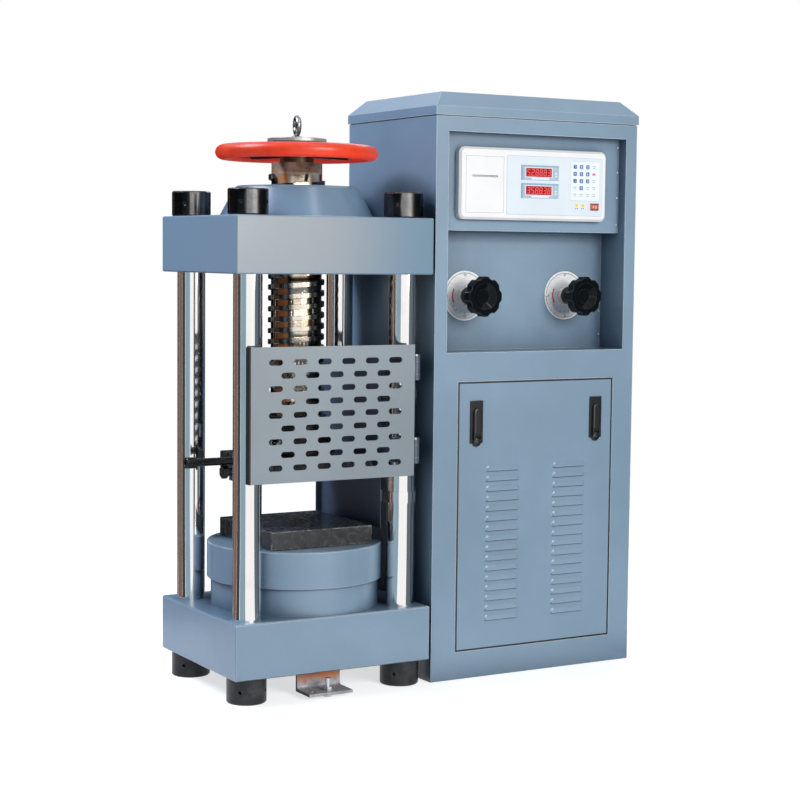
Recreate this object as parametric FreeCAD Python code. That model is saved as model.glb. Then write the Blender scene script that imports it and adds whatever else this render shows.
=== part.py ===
import FreeCAD, Part
import math
import os

from FreeCAD import Placement, Rotation, Vector

# A hydraulic compression testing machine: a four-column load frame with a hand-driven
# lead screw above and a ram below, and a cabinet beside it with the oil supply, two
# control valves and a digital display. All sizes are in millimetres.
# While it is built, X runs right from the load frame's left face, Y runs back from its
# front face and Z runs up from the floor. The shapes are moved to the origin at the end.

# Load frame
frame_width = 452.0
frame_depth = 373.0
foot_height = 53.0
base_thickness = 115.0
daylight = 699.0
beam_thickness = 117.0
beam_edge = 2.5
column_radius = 29.5
column_inset = 47.0
journal_radius = 24.0
nut_radius = 41.0
nut_edge = 2.5
nut_floor = 10.0
spanner_hole_radius = 4.0
spanner_hole_depth = 9.0
column_end_recess = 3.0

# Screw nut and its conical housing
housing_low_radius = 162.5
housing_top_radius = 128.5
housing_height = 64.0
housing_edge = 4.0
housing_top_wall = 26.0
housing_hole_gap = 2.0
nut_body_radius = 88.0
nut_body_length = 112.0
nut_flange_radius = 104.0
nut_flange_thickness = 24.0
screw_clearance = 0.05

# Lead screw and handwheel
screw_radius = 60.0
screw_thread_depth = 6.6
screw_pitch = 23.0
wheel_clearance = 49.0
screw_edge = 3.0
wheel_seat_radius = 26.0
wheel_outer_radius = 171.0
rim_tube_radius = 15.0
hub_radius = 36.0
hub_flange_radius = 50.0
hub_flange_thickness = 10.0
hub_height = 43.0
rim_above_hub_base = 21.0
spoke_radius = 9.0
spoke_count = 4
spoke_turn = 15.0
spoke_sink = 6.0
lock_plate_radius = 62.0
lock_plate_depth = 8.0
lock_plate_chamfer = 1.0
eye_collar_radius = 13.0
eye_collar_height = 7.0
eye_outer_radius = 22.0
eye_tube_radius = 6.2
eye_sink = 2.0
eye_turn = 74.0
eye_shank_radius = 8.0
eye_shank_length = 25.0

# Test space and upper platen
test_gap = 108.0
platen_width = 236.0
platen_depth = 252.0
platen_edge = 1.5
upper_platen_thickness = 36.0
ball_radius = 75.0
ball_clearance = 0.3
seat_gap = 6.0
seat_rim_height = 15.0
seat_rim_radius = 84.0
seat_waist_radius = 70.0
seat_waist_height = 27.0
seat_top_radius = 66.0
seat_height = 78.0
screw_spigot_radius = 34.0
screw_spigot_length = 30.0
spigot_clearance = 0.05
hanger_count = 3
hanger_circle_radius = 73.0
hanger_radius = 4.0
hanger_head_radius = 6.5
hanger_head_height = 8.0
hanger_hole_radius = 6.0
hanger_seat_step = 2.0
hanger_head_room = 3.0
hanger_lift = 3.0
hanger_depth = 20.0

# Stay rod on the left of the upper platen
stay_block_thickness = 30.0
stay_block_width = 30.0
stay_block_height = 56.0
stay_block_rise = 6.0
stay_rod_radius = 8.2
stay_rod_length = 105.0
stay_cap_radius = 11.8
stay_cap_length = 22.0
stay_cap_chamfer = 1.2
stay_socket_across_flats = 11.0
stay_socket_depth = 9.0
stay_rod_height = 28.0
stay_bolt_across_flats = 24.0
stay_bolt_head = 11.0
stay_bolt_radius = 8.0
stay_bolt_length = 12.0
stay_bolt_height = 5.0

# Ram side
bore_radius = 125.0
ram_clearance = 0.05
cylinder_rise = 114.0
cylinder_floor = 20.0
cylinder_spigot_radius = 150.0
cylinder_spigot_depth = 58.0
ram_end_gap = 2.0
ram_chamfer = 1.0
ram_stroke = 25.0
skirt_overlap = 33.0
cap_column_gap = 10.74
cap_height = 77.5
cap_wall = 7.0
cap_skirt_gap = 1.2
cap_plate = 15.0
cap_socket = 5.0
cap_edge = 2.0
seal_width = 10.0
seal_depth = 7.0
seal_low = 18.0
seal_gap = 0.01
lower_platen_thickness = 38.5
centre_pin_radius = 10.0
centre_pin_length = 20.0
oil_port_radius = 8.0
oil_port_drop = 38.0

# Front guard
guard_left = 26.0
guard_right_inset = 51.0
guard_low = 450.0
guard_high = 723.0
guard_sheet = 2.0
guard_front = -13.0
slot_length = 30.6
slot_width = 12.0
slot_rows = 9
slot_columns = 6
slot_left_margin = 55.0
slot_right_margin = 46.0
slot_low_margin = 30.4
slot_high_margin = 31.0
trim_depth = 17.0
trim_thickness = 3.0
hinge_inset = 44.0
hinge_y = -5.0
hinge_low_margin = 50.0
hinge_high_margin = 49.0
hinge_pin_radius = 4.0
hinge_clearance = 0.05
barrel_radius = 8.0
barrel_length = 26.0
barrel_gap = 0.3
hinge_leaf_width = 24.0
hinge_leaf_thickness = 3.0
clamp_height = 50.0
clamp_wall = 9.0
clamp_lug_width = 12.0
clamp_room = 3.0
pin_head_radius = 6.0
pin_head_height = 3.0

# Side guard plate on the right columns
side_plate_sheet = 2.0
side_plate_column_gap = 2.0
side_plate_front_gap = 28.6
side_plate_back_lap = 22.0
side_plate_gap = 3.5
side_plate_high = 690.0
side_plate_lip = 12.0
clip_margin = 70.0
clip_height = 24.0
clip_wall = 3.0
clip_tab_depth = 26.0

# Floor bracket
bracket_left = 160.0
bracket_length = 100.0
bracket_back = 49.0
bracket_depth = 63.0
bracket_low = 7.5
bracket_thickness = 6.0
bracket_inner_fillet = 6.0
bracket_outer_fillet = 3.0
bracket_hole_radius = 5.5
bracket_hole_back = 45.0
bracket_free_hole = 18.0
bracket_bolt_hole = 51.0
bolt_radius = 5.0
bolt_across_flats = 16.0
bolt_head_height = 6.4
bolt_nut_height = 8.4
bolt_length = 32.0

# Cabinet
cabinet_gap = 10.0
cabinet_front = 11.0
cabinet_width = 520.0
cabinet_depth = 380.0
cabinet_height = 1250.0
sheet = 2.0
pan_lip = 20.0
cap_band = 19.2
cap_bevel_height = 31.6
cap_bevel_inset = 30.6
cap_overhang = 2.5
cap_gap = 1.6
recess_left_inset = 30.7
recess_right_inset = 29.0
recess_top_inset = 83.5
recess_height = 464.0
recess_depth = 87.0
console_height = 206.5
console_setback = 25.0

# Display unit
display_left_inset = 31.8
display_right_inset = 47.0
display_rise = 24.0
display_height = 153.0
display_proud = 18.0
display_behind = 40.0
display_corner = 14.0
display_bevel = 5.0
display_rear_inset = 10.0
bay_inset = 15.5
bay_width = 94.6
bay_rise = 15.0
bay_height = 118.3
bay_wall = 3.5
bay_depth = 46.0
printer_door_thickness = 3.0
printer_slot_rise = 77.0
printer_slot_width = 64.0
printer_slot_thickness = 3.5
printer_door_gap = 0.4
paper_radius = 20.0
paper_core_radius = 6.0
paper_width = 57.0
paper_rise = 37.0
spindle_radius = 4.0
window_share = 0.5827
window_width = 97.0
window_height = 32.0
window_rises = (47.8, 86.4)
window_thickness = 2.0
glass_left = 11.5
glass_width = 67.0
glass_height = 18.5
glass_low = 7.5
glass_thickness = 0.8
key_inset = 98.2
key_rise = 47.2
key_width = 13.0
key_height = 11.0
key_columns = 4
key_rows = 5
key_pitch_x = 21.9
key_pitch_z = 17.9
key_thickness = 0.8
menu_key_inset = 82.0
menu_key_width = 9.5
menu_key_pitch = 12.5
menu_key_rise = 29.5
menu_key_height = 8.5
rocker_inset = 44.0
rocker_width = 21.0
rocker_rise = 24.8
rocker_height = 15.0
rocker_depth = 12.0
rocker_proud = 2.5
rocker_tilt = 6.0
rocker_gap = 0.8
rocker_root_width = 8.0
rocker_root_gap = 2.0

# Valves and knobs
knob_left_inset = 128.0
knob_right_inset = 129.0
knob_rise = 118.0
dial_radius = 54.0
dial_thickness = 1.5
bonnet_radius = 19.5
bonnet_length = 15.0
stem_radius = 7.0
stem_clearance = 0.05
knob_front = 13.0
knob_radius = 43.0
knob_thickness = 24.0
knob_lobes = 8
knob_notch_radius = 11.0
knob_notch_centre = 49.0
knob_dish_radius = 28.0
knob_dish_depth = 10.0
knob_dish_floor_radius = 15.4
knob_edge = 3.0
knob_neck_radius = 15.0
knob_shoulder_radius = 24.0
knob_shoulder_length = 3.0
knob_taper_share = 0.4
knob_gap = 0.3
stem_in_bonnet = 12.0
stem_end_gap = 2.0
valve_block_height = 70.0
valve_block_depth = 60.0
valve_block_margin = 45.0
sensor_radius = 13.0
sensor_length = 42.0

# Door
door_left_inset = 62.3
door_right_inset = 56.9
door_low = 61.7
door_below_recess = 64.7
door_gap = 2.0
door_rest_gap = 0.3
door_rest_width = 20.0
door_flange = 18.0
jamb_depth = 20.0
louver_inset = 69.0
louver_width = 89.5
louver_below_locks = 43.2
louver_rise = 72.1
louver_count = 16
louver_height = 11.0
louver_proud = 5.0
louver_sheet = 1.2
louver_slope = 5.0
louver_mouth = 8.0
louver_lip = 0.3
lock_inset = 28.5
lock_plate_width = 32.0
lock_plate_height = 98.0
lock_plate_drop = 136.8
lock_plate_thickness = 2.7
lock_plate_edge = 0.8
lock_spindle_height = 22.0
spindle_shaft_radius = 6.0
spindle_clearance = 0.05
fork_width = 20.0
fork_length = 16.0
fork_ear = 3.2
fork_gap = 0.3
fork_plate_gap = 0.3
fork_web = 0.6
handle_width = 20.0
handle_thickness = 6.0
handle_length = 66.0
handle_web_gap = 0.3
handle_grip_gap = 1.0
handle_lap = 1.0
handle_pin_radius = 1.5
handle_clearance = 0.05
cam_width = 14.0
cam_length = 62.0
cam_thickness = 3.0
cam_gap = 1.0

# Oil supply inside the cabinet
tank_left_gap = 128.0
tank_right_gap = 42.0
tank_front_gap = 134.0
tank_back_gap = 26.0
tank_height = 262.0
tank_wall = 3.0
tank_lid = 8.0
tank_lid_lap = 8.0
motor_inset = 100.0
motor_radius = 72.0
motor_height = 210.0
motor_foot = 12.0
motor_foot_radius = 90.0
motor_fan_radius = 66.0
motor_fan_height = 30.0
fin_count = 16
fin_depth = 6.0
fin_width = 5.0
fin_rise = 12.0
pump_radius = 46.0
pump_height = 90.0
pump_neck_radius = 32.2
pump_flange_thickness = 8.0
pump_flange_lap = 8.0
shaft_radius = 12.0
shaft_length = 60.0
shaft_room = 1.0
pipe_radius = 8.0
pipe_bore = 5.0
pipe_bend = 25.0
pump_outlet_reach = 100.0
return_reach = 160.0
frame_pipe_inset = 103.0
pipe_drop = 110.0

# How far a cutting tool runs past the face it cuts
overrun = 1.0

# Heights that follow
base_top = foot_height + base_thickness
beam_low = base_top + daylight
beam_top = beam_low + beam_thickness
axis_x = frame_width / 2
axis_y = frame_depth / 2
column_xs = (column_inset, frame_width - column_inset)
column_ys = (column_inset, frame_depth - column_inset)
column_places = [(x, y) for y in column_ys for x in column_xs]
column_reach = math.hypot(axis_x - column_inset, axis_y - column_inset)
cap_radius = column_reach - column_radius - cap_column_gap
cylinder_radius = cap_radius - cap_wall - cap_skirt_gap
housing_top = beam_top + housing_height
cylinder_top = base_top + cylinder_rise
frame_pipe_height = base_top - oil_port_drop
cap_bottom = cylinder_top - ram_stroke - skirt_overlap
cap_top = cap_bottom + cap_height
lower_platen_top = cap_top + lower_platen_thickness
side_plate_low = cap_top + ram_stroke + side_plate_gap
upper_platen_low = lower_platen_top + test_gap
upper_platen_top = upper_platen_low + upper_platen_thickness
seat_low = upper_platen_top + seat_gap
seat_top = seat_low + seat_height
neck_top = housing_top + wheel_clearance
thread_top = neck_top - screw_pitch
wheel_seat_length = hub_height + lock_plate_depth
screw_top = neck_top + wheel_seat_length
rim_z = neck_top + rim_above_hub_base
guard_right = frame_width - guard_right_inset
hinge_x = frame_width - hinge_inset
hinge_heights = (guard_low + hinge_low_margin, guard_high - hinge_high_margin)
slot_first_x = guard_left + slot_left_margin
slot_first_z = guard_low + slot_low_margin
slot_pitch = (guard_right - slot_right_margin - slot_first_x) / (slot_columns - 1)
slot_row_pitch = (guard_high - slot_high_margin - slot_first_z) / (slot_rows - 1)
side_plate_left = column_xs[1] - column_radius - side_plate_column_gap - side_plate_sheet
side_plate_front = column_ys[0] + side_plate_front_gap
side_plate_back = column_ys[1] + side_plate_back_lap
clip_heights = (side_plate_low + clip_margin, side_plate_high - clip_margin)
cabinet_left = frame_width + cabinet_gap
cabinet_right = cabinet_left + cabinet_width
cabinet_back = cabinet_front + cabinet_depth
cap_low_z = cabinet_height - cap_band - cap_bevel_height
recess_left = cabinet_left + recess_left_inset
recess_right = cabinet_right - recess_right_inset
recess_back = cabinet_front + recess_depth
recess_high = cabinet_height - recess_top_inset
recess_low = recess_high - recess_height
console_low = recess_high - console_height
console_front = cabinet_front + console_setback
display_front = console_front - display_proud
display_left = recess_left + display_left_inset
display_right = recess_right - display_right_inset
display_low = console_low + display_rise
display_high = display_low + display_height
bay_left = display_left + bay_inset
bay_right = bay_left + bay_width
key_left = display_right - key_inset
menu_key_left = display_right - menu_key_inset
rocker_left = display_right - rocker_inset
window_left = bay_right + window_share * (key_left - bay_right - window_width)
bay_low = display_low + bay_rise
bay_high = bay_low + bay_height
printer_slot_z = bay_low + printer_slot_rise
paper_z = bay_low + paper_rise
window_lows = [display_low + rise for rise in window_rises]
key_low = display_low + key_rise
menu_key_low = display_low + menu_key_rise
rocker_low = display_low + rocker_rise
knob_xs = (cabinet_left + knob_left_inset, cabinet_right - knob_right_inset)
knob_z = recess_low + knob_rise
door_left = cabinet_left + door_left_inset
door_right = cabinet_right - door_right_inset
door_high = recess_low - door_below_recess
lock_plate_low = door_high - lock_plate_drop
louver_xs = (door_left + louver_inset, door_right - louver_inset - louver_width)
louver_top = lock_plate_low - louver_below_locks
louver_pitch = (louver_top - door_low - louver_rise) / (louver_count - 1)
platen_left = axis_x - platen_width / 2
stay_block_left = platen_left - stay_block_thickness
stay_rod_left = stay_block_left - stay_rod_length
lock_xs = (
    door_left + lock_inset + lock_plate_width / 2,
    door_right - lock_inset - lock_plate_width / 2,
)
lock_z = lock_plate_low + lock_spindle_height
handle_front = cabinet_front - lock_plate_thickness - fork_plate_gap - handle_thickness
handle_pivot_y = handle_front + handle_thickness / 2
eye_ring_z = screw_top + eye_collar_height + eye_outer_radius - eye_sink
tank_left = cabinet_left + tank_left_gap
tank_right = cabinet_right - tank_right_gap
tank_front = cabinet_front + tank_front_gap
tank_back = cabinet_back - tank_back_gap
tank_top = pan_lip + tank_height
motor_x = tank_right - motor_inset
motor_y = (tank_front + tank_back) / 2
pump_outlet_x = motor_x - pump_outlet_reach
return_x = motor_x - return_reach
frame_pipe_x = cabinet_left + frame_pipe_inset

# The origin is on the floor, under the middle of the machine's overall plan.
plan_left = stay_rod_left
plan_right = cabinet_right + cap_overhang
plan_front = bracket_back - bracket_depth
plan_back = cabinet_back + cap_overhang
origin = Vector((plan_left + plan_right) / 2, (plan_front + plan_back) / 2, 0)


def box(x0, x1, y0, y1, z0, z1):
    """A block between two corners."""
    return Part.makeBox(x1 - x0, y1 - y0, z1 - z0, Vector(x0, y0, z0))


def upright(x, y, z0, z1, radius):
    """A cylinder along Z."""
    return Part.makeCylinder(radius, z1 - z0, Vector(x, y, z0))


def depthwise(x, z, y0, y1, radius):
    """A cylinder along Y."""
    return Part.makeCylinder(radius, y1 - y0, Vector(x, y0, z), Vector(0, 1, 0))


def crosswise(y, z, x0, x1, radius):
    """A cylinder along X."""
    return Part.makeCylinder(radius, x1 - x0, Vector(x0, y, z), Vector(1, 0, 0))


def turned(x, y, outline):
    """A body of revolution about the vertical line at x, y, from (radius, z) points."""
    points = [Vector(radius, 0, z) for radius, z in outline]
    face = Part.Face(Part.makePolygon(points + points[:1]))
    solid = face.revolve(Vector(0, 0, 0), Vector(0, 0, 1), 360)
    solid.translate(Vector(x, y, 0))
    return solid


def chamfered_cylinder(x, y, z0, z1, radius, edge):
    """An upright cylinder with both rims chamfered."""
    outline = [
        (0, z0),
        (radius - edge, z0),
        (radius, z0 + edge),
        (radius, z1 - edge),
        (radius - edge, z1),
        (0, z1),
    ]
    return turned(x, y, outline)


def hexagon(x, y, z, across_flats, height):
    """An upright hexagonal prism."""
    corner = across_flats / math.sqrt(3)
    turns = [math.radians(60 * step) for step in range(6)]
    points = [Vector(x + corner * math.cos(t), y + corner * math.sin(t), z) for t in turns]
    return Part.Face(Part.makePolygon(points + points[:1])).extrude(Vector(0, 0, height))


def cut_all(solid, tools):
    """The solid less every tool."""
    return solid.cut(Part.makeCompound(tools)) if tools else solid


def joined(solids):
    """One solid from several that overlap or share faces."""
    result = solids[0]
    for solid in solids[1:]:
        result = result.fuse(solid)
    return result.removeSplitter()


def vertical_edges(solid):
    """The straight edges of a solid that run along Z."""
    found = []
    for edge in solid.Edges:
        start, end = edge.Vertexes[0].Point, edge.Vertexes[-1].Point
        if (end - start).Length > 1e-6 and abs(abs((end - start).z) - (end - start).Length) < 1e-6:
            found.append(edge)
    return found


def depth_edges(solid):
    """The straight edges of a solid that run along Y."""
    found = []
    for edge in solid.Edges:
        start, end = edge.Vertexes[0].Point, edge.Vertexes[-1].Point
        if (end - start).Length > 1e-6 and abs(abs((end - start).y) - (end - start).Length) < 1e-6:
            found.append(edge)
    return found


def spanner_holes(x, y, z):
    """Four radial holes round a nut, for a pin spanner."""
    holes = []
    for step in range(4):
        turn = math.radians(45 + 90 * step)
        direction = Vector(math.cos(turn), math.sin(turn), 0)
        start = Vector(x, y, z) + direction * (nut_radius - spanner_hole_depth)
        holes.append(Part.makeCylinder(spanner_hole_radius, spanner_hole_depth + overrun, start, direction))
    return holes


def beam(z0, z1):
    """A rectangular beam of the load frame with its four column bores."""
    block = box(0, frame_width, 0, frame_depth, z0, z1)
    block = block.makeChamfer(beam_edge, block.Edges)
    return cut_all(block, [upright(x, y, z0, z1, journal_radius) for x, y in column_places])


def base_beam():
    block = beam(foot_height, base_top)
    pocket = upright(axis_x, axis_y, base_top - cylinder_spigot_depth, base_top, cylinder_spigot_radius)
    port = crosswise(axis_y, frame_pipe_height, axis_x, frame_width, oil_port_radius)
    return cut_all(block, [pocket, port])


def top_beam():
    block = beam(beam_low, beam_top)
    nut_bore = upright(axis_x, axis_y, beam_low, beam_top, nut_body_radius)
    return block.cut(nut_bore)


def columns():
    posts = []
    low_end = nut_floor + column_end_recess
    high_end = beam_top + foot_height - nut_floor - column_end_recess
    for x, y in column_places:
        outline = [
            (0, low_end),
            (journal_radius, low_end),
            (journal_radius, base_top),
            (column_radius, base_top),
            (column_radius, beam_low),
            (journal_radius, beam_low),
            (journal_radius, high_end),
            (0, high_end),
        ]
        posts.append(turned(x, y, outline))
    return Part.makeCompound(posts)


def column_nuts():
    """Eight closed round nuts: four are the feet and four hold the top beam."""
    nuts = []
    for x, y in column_places:
        foot = chamfered_cylinder(x, y, 0, foot_height, nut_radius, nut_edge)
        foot_bore = upright(x, y, nut_floor, foot_height, journal_radius)
        nuts.append(cut_all(foot, [foot_bore] + spanner_holes(x, y, foot_height / 2)))
        top = beam_top + foot_height
        cap = chamfered_cylinder(x, y, beam_top, top, nut_radius, nut_edge)
        cap_bore = upright(x, y, beam_top, top - nut_floor, journal_radius)
        nuts.append(cut_all(cap, [cap_bore] + spanner_holes(x, y, beam_top + foot_height / 2)))
    return Part.makeCompound(nuts)


def nut_housing():
    cavity_radius = nut_flange_radius
    cavity_top = housing_top - housing_top_wall
    screw_hole = screw_radius + housing_hole_gap
    slope = (housing_low_radius - housing_top_radius) / housing_height
    outline = [
        (cavity_radius, beam_top),
        (housing_low_radius, beam_top),
        (housing_top_radius + slope * housing_edge, housing_top - housing_edge),
        (housing_top_radius - housing_edge, housing_top),
        (screw_hole, housing_top),
        (screw_hole, cavity_top),
        (cavity_radius, cavity_top),
    ]
    return turned(axis_x, axis_y, outline)


def screw_nut():
    body_low = beam_top - nut_body_length
    bore = screw_radius + screw_clearance
    outline = [
        (bore, body_low),
        (nut_body_radius, body_low),
        (nut_body_radius, beam_top),
        (nut_flange_radius, beam_top),
        (nut_flange_radius, beam_top + nut_flange_thickness),
        (bore, beam_top + nut_flange_thickness),
    ]
    return turned(axis_x, axis_y, outline)


def lead_screw():
    root = screw_radius - screw_thread_depth
    outline = [
        (0, seat_top - screw_spigot_length),
        (screw_spigot_radius, seat_top - screw_spigot_length),
        (screw_spigot_radius, seat_top),
        (screw_radius - screw_edge, seat_top),
        (screw_radius, seat_top + screw_edge),
        (screw_radius, thread_top - screw_edge),
        (root, thread_top),
        (root, neck_top),
        (wheel_seat_radius, neck_top),
        (wheel_seat_radius, screw_top),
        (eye_shank_radius, screw_top),
        (eye_shank_radius, screw_top - eye_shank_length),
        (0, screw_top - eye_shank_length),
    ]
    return turned(axis_x, axis_y, outline)


def handwheel_rim():
    ring_radius = wheel_outer_radius - rim_tube_radius
    return Part.makeTorus(ring_radius, rim_tube_radius, Vector(axis_x, axis_y, rim_z))


def handwheel_spider():
    flange_low = neck_top + hub_height - hub_flange_thickness
    outline = [
        (wheel_seat_radius, neck_top),
        (hub_radius, neck_top),
        (hub_radius, flange_low),
        (hub_flange_radius, flange_low),
        (hub_flange_radius, neck_top + hub_height),
        (wheel_seat_radius, neck_top + hub_height),
    ]
    hub = turned(axis_x, axis_y, outline)
    reach = wheel_outer_radius - rim_tube_radius
    spokes = []
    for step in range(spoke_count):
        turn = math.radians(spoke_turn + 360.0 / spoke_count * step)
        direction = Vector(math.cos(turn), math.sin(turn), 0)
        start = Vector(axis_x, axis_y, rim_z) + direction * (hub_radius - spoke_sink)
        spokes.append(Part.makeCylinder(spoke_radius, reach - hub_radius + spoke_sink, start, direction))
    spider = joined([hub] + spokes)
    return spider.cut(handwheel_rim())


def wheel_lock_plate():
    low = neck_top + hub_height
    plate = chamfered_cylinder(axis_x, axis_y, low, screw_top, lock_plate_radius, lock_plate_chamfer)
    return plate.cut(upright(axis_x, axis_y, low, screw_top, wheel_seat_radius))


def lifting_eye():
    collar_top = screw_top + eye_collar_height
    ring_radius = eye_outer_radius - eye_tube_radius
    ring = Part.makeTorus(ring_radius, eye_tube_radius, Vector(0, 0, 0), Vector(0, 1, 0))
    ring.rotate(Vector(0, 0, 0), Vector(0, 0, 1), eye_turn)
    ring.translate(Vector(axis_x, axis_y, eye_ring_z))
    outline = [
        (0, screw_top - eye_shank_length),
        (eye_shank_radius, screw_top - eye_shank_length),
        (eye_shank_radius, screw_top),
        (eye_collar_radius, screw_top),
        (eye_collar_radius, screw_top + eye_collar_height / 2),
        (eye_tube_radius, collar_top),
        (0, collar_top),
    ]
    return joined([turned(axis_x, axis_y, outline), ring])


def hanger_places():
    places = []
    for step in range(hanger_count):
        turn = math.radians(90 + 360.0 / hanger_count * step)
        x = axis_x + hanger_circle_radius * math.cos(turn)
        y = axis_y + hanger_circle_radius * math.sin(turn)
        places.append((x, y))
    return places


def ball_seat():
    spigot_low = seat_top - screw_spigot_length
    outline = [
        (0, seat_low),
        (seat_rim_radius, seat_low),
        (seat_rim_radius, seat_low + seat_rim_height),
        (seat_waist_radius, seat_low + seat_rim_height + seat_waist_height),
        (seat_top_radius, seat_top),
        (screw_spigot_radius + spigot_clearance, seat_top),
        (screw_spigot_radius + spigot_clearance, spigot_low),
        (0, spigot_low),
    ]
    body = turned(axis_x, axis_y, outline)
    hollow = Part.makeSphere(ball_radius + ball_clearance, Vector(axis_x, axis_y, upper_platen_low))
    tools = [hollow]
    spot_low = seat_low + seat_rim_height - hanger_seat_step
    for x, y in hanger_places():
        tools.append(upright(x, y, seat_low, spot_low, hanger_hole_radius))
        tools.append(upright(x, y, spot_low, seat_top, hanger_head_radius + hanger_head_room))
    return cut_all(body, tools)


def platen_ball():
    ball = Part.makeSphere(ball_radius, Vector(axis_x, axis_y, upper_platen_low))
    above = box(
        axis_x - ball_radius,
        axis_x + ball_radius,
        axis_y - ball_radius,
        axis_y + ball_radius,
        upper_platen_top,
        upper_platen_low + ball_radius,
    )
    return ball.common(above)


def hanger_screws():
    screws = []
    head_low = seat_low + seat_rim_height - hanger_seat_step + hanger_lift
    for x, y in hanger_places():
        shank = upright(x, y, upper_platen_top - hanger_depth, head_low, hanger_radius)
        head = upright(x, y, head_low, head_low + hanger_head_height, hanger_head_radius)
        screws.append(joined([shank, head]))
    return Part.makeCompound(screws)


def platen(z0, z1):
    """A rectangular platen with its edges eased."""
    block = box(
        axis_x - platen_width / 2,
        axis_x + platen_width / 2,
        axis_y - platen_depth / 2,
        axis_y + platen_depth / 2,
        z0,
        z1,
    )
    return block.makeChamfer(platen_edge, block.Edges)


def upper_platen():
    block = platen(upper_platen_low, upper_platen_top)
    low = upper_platen_top - hanger_depth
    return cut_all(block, [upright(x, y, low, upper_platen_top, hanger_radius) for x, y in hanger_places()])


def stay_block():
    low = upper_platen_top + stay_block_rise - stay_block_height
    block = box(
        stay_block_left,
        platen_left,
        axis_y - stay_block_width / 2,
        axis_y + stay_block_width / 2,
        low,
        low + stay_block_height,
    )
    block = block.makeChamfer(platen_edge, vertical_edges(block))
    rod_z = upper_platen_low + stay_rod_height
    bolt_z = upper_platen_low + stay_bolt_height
    rod_hole = crosswise(axis_y, rod_z, stay_block_left, platen_left, stay_rod_radius)
    bolt_hole = crosswise(axis_y, bolt_z, stay_block_left, platen_left, stay_bolt_radius)
    return cut_all(block, [rod_hole, bolt_hole])


def stay_rod():
    rod_z = upper_platen_low + stay_rod_height
    rod = crosswise(axis_y, rod_z, stay_rod_left, platen_left, stay_rod_radius)
    cap = crosswise(axis_y, rod_z, stay_rod_left, stay_rod_left + stay_cap_length, stay_cap_radius)
    cap = cap.makeChamfer(stay_cap_chamfer, cap.Edges)
    socket = hexagon(0, 0, 0, stay_socket_across_flats, stay_socket_depth)
    socket.Placement = Placement(Vector(stay_rod_left, axis_y, rod_z), Rotation(Vector(0, 1, 0), 90))
    return joined([rod, cap]).cut(socket)


def stay_bolt():
    bolt_z = upper_platen_low + stay_bolt_height
    shank_left = stay_block_left - stay_bolt_length
    shank = crosswise(axis_y, bolt_z, shank_left, platen_left, stay_bolt_radius)
    head = hexagon(0, 0, 0, stay_bolt_across_flats, stay_bolt_head)
    head_place = Vector(shank_left - stay_bolt_head, axis_y, bolt_z)
    head.Placement = Placement(head_place, Rotation(Vector(0, 1, 0), 90))
    return joined([shank, head])


def cylinder():
    spigot_low = base_top - cylinder_spigot_depth
    floor_top = spigot_low + cylinder_floor
    seal_bottom = cylinder_top - seal_low
    outline = [
        (0, spigot_low),
        (cylinder_spigot_radius, spigot_low),
        (cylinder_spigot_radius, base_top),
        (cylinder_radius, base_top),
        (cylinder_radius, cylinder_top),
        (bore_radius, cylinder_top),
        (bore_radius, seal_bottom),
        (bore_radius + seal_depth, seal_bottom),
        (bore_radius + seal_depth, seal_bottom - seal_width),
        (bore_radius, seal_bottom - seal_width),
        (bore_radius, floor_top),
        (0, floor_top),
    ]
    body = turned(axis_x, axis_y, outline)
    port = crosswise(axis_y, frame_pipe_height, axis_x, axis_x + cylinder_spigot_radius, oil_port_radius)
    return body.cut(port)


def ram():
    low = base_top - cylinder_spigot_depth + cylinder_floor + ram_end_gap
    high = cap_top - cap_plate + cap_socket
    return chamfered_cylinder(axis_x, axis_y, low, high, bore_radius - ram_clearance, ram_chamfer)


def ram_seal():
    high = cylinder_top - seal_low
    outline = [
        (bore_radius - seal_gap, high - seal_width),
        (bore_radius + seal_depth, high - seal_width),
        (bore_radius + seal_depth, high),
        (bore_radius - seal_gap, high),
    ]
    return turned(axis_x, axis_y, outline)


def ram_cap():
    under = cap_top - cap_plate
    inner = cap_radius - cap_wall
    outline = [
        (0, under + cap_socket),
        (bore_radius - ram_clearance, under + cap_socket),
        (bore_radius - ram_clearance, under),
        (inner, under),
        (inner, cap_bottom),
        (cap_radius - cap_edge, cap_bottom),
        (cap_radius, cap_bottom + cap_edge),
        (cap_radius, cap_top - cap_edge),
        (cap_radius - cap_edge, cap_top),
        (0, cap_top),
    ]
    body = turned(axis_x, axis_y, outline)
    return body.cut(upright(axis_x, axis_y, under, cap_top, centre_pin_radius))


def centre_pin():
    low = cap_top - cap_plate + cap_socket
    return upright(axis_x, axis_y, low, low + centre_pin_length, centre_pin_radius)


def lower_platen():
    block = platen(cap_top, lower_platen_top)
    pin_top = cap_top - cap_plate + cap_socket + centre_pin_length
    return block.cut(upright(axis_x, axis_y, cap_top, pin_top, centre_pin_radius))


def slot(x, z, y0, y1):
    """A slot with round ends, cut through along Y."""
    reach = slot_length / 2 - slot_width / 2
    middle = box(x - reach, x + reach, y0, y1, z - slot_width / 2, z + slot_width / 2)
    ends = [depthwise(x + side * reach, z, y0, y1, slot_width / 2) for side in (-1, 1)]
    return joined([middle] + ends)


def guard_panel():
    back = guard_front + guard_sheet
    panel = box(guard_left, guard_right, guard_front, back, guard_low, guard_high)
    slots = []
    for row in range(slot_rows):
        shift = 0.5 * (row % 2)
        for column in range(slot_columns - row % 2):
            x = slot_first_x + slot_pitch * (column + shift)
            z = slot_first_z + slot_row_pitch * row
            slots.append(slot(x, z, guard_front - overrun, back + overrun))
    return cut_all(panel, slots)


def guard_edge_trim():
    left = guard_left - trim_thickness
    return box(left, guard_left, guard_front, guard_front + trim_depth, guard_low, guard_high)


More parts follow.
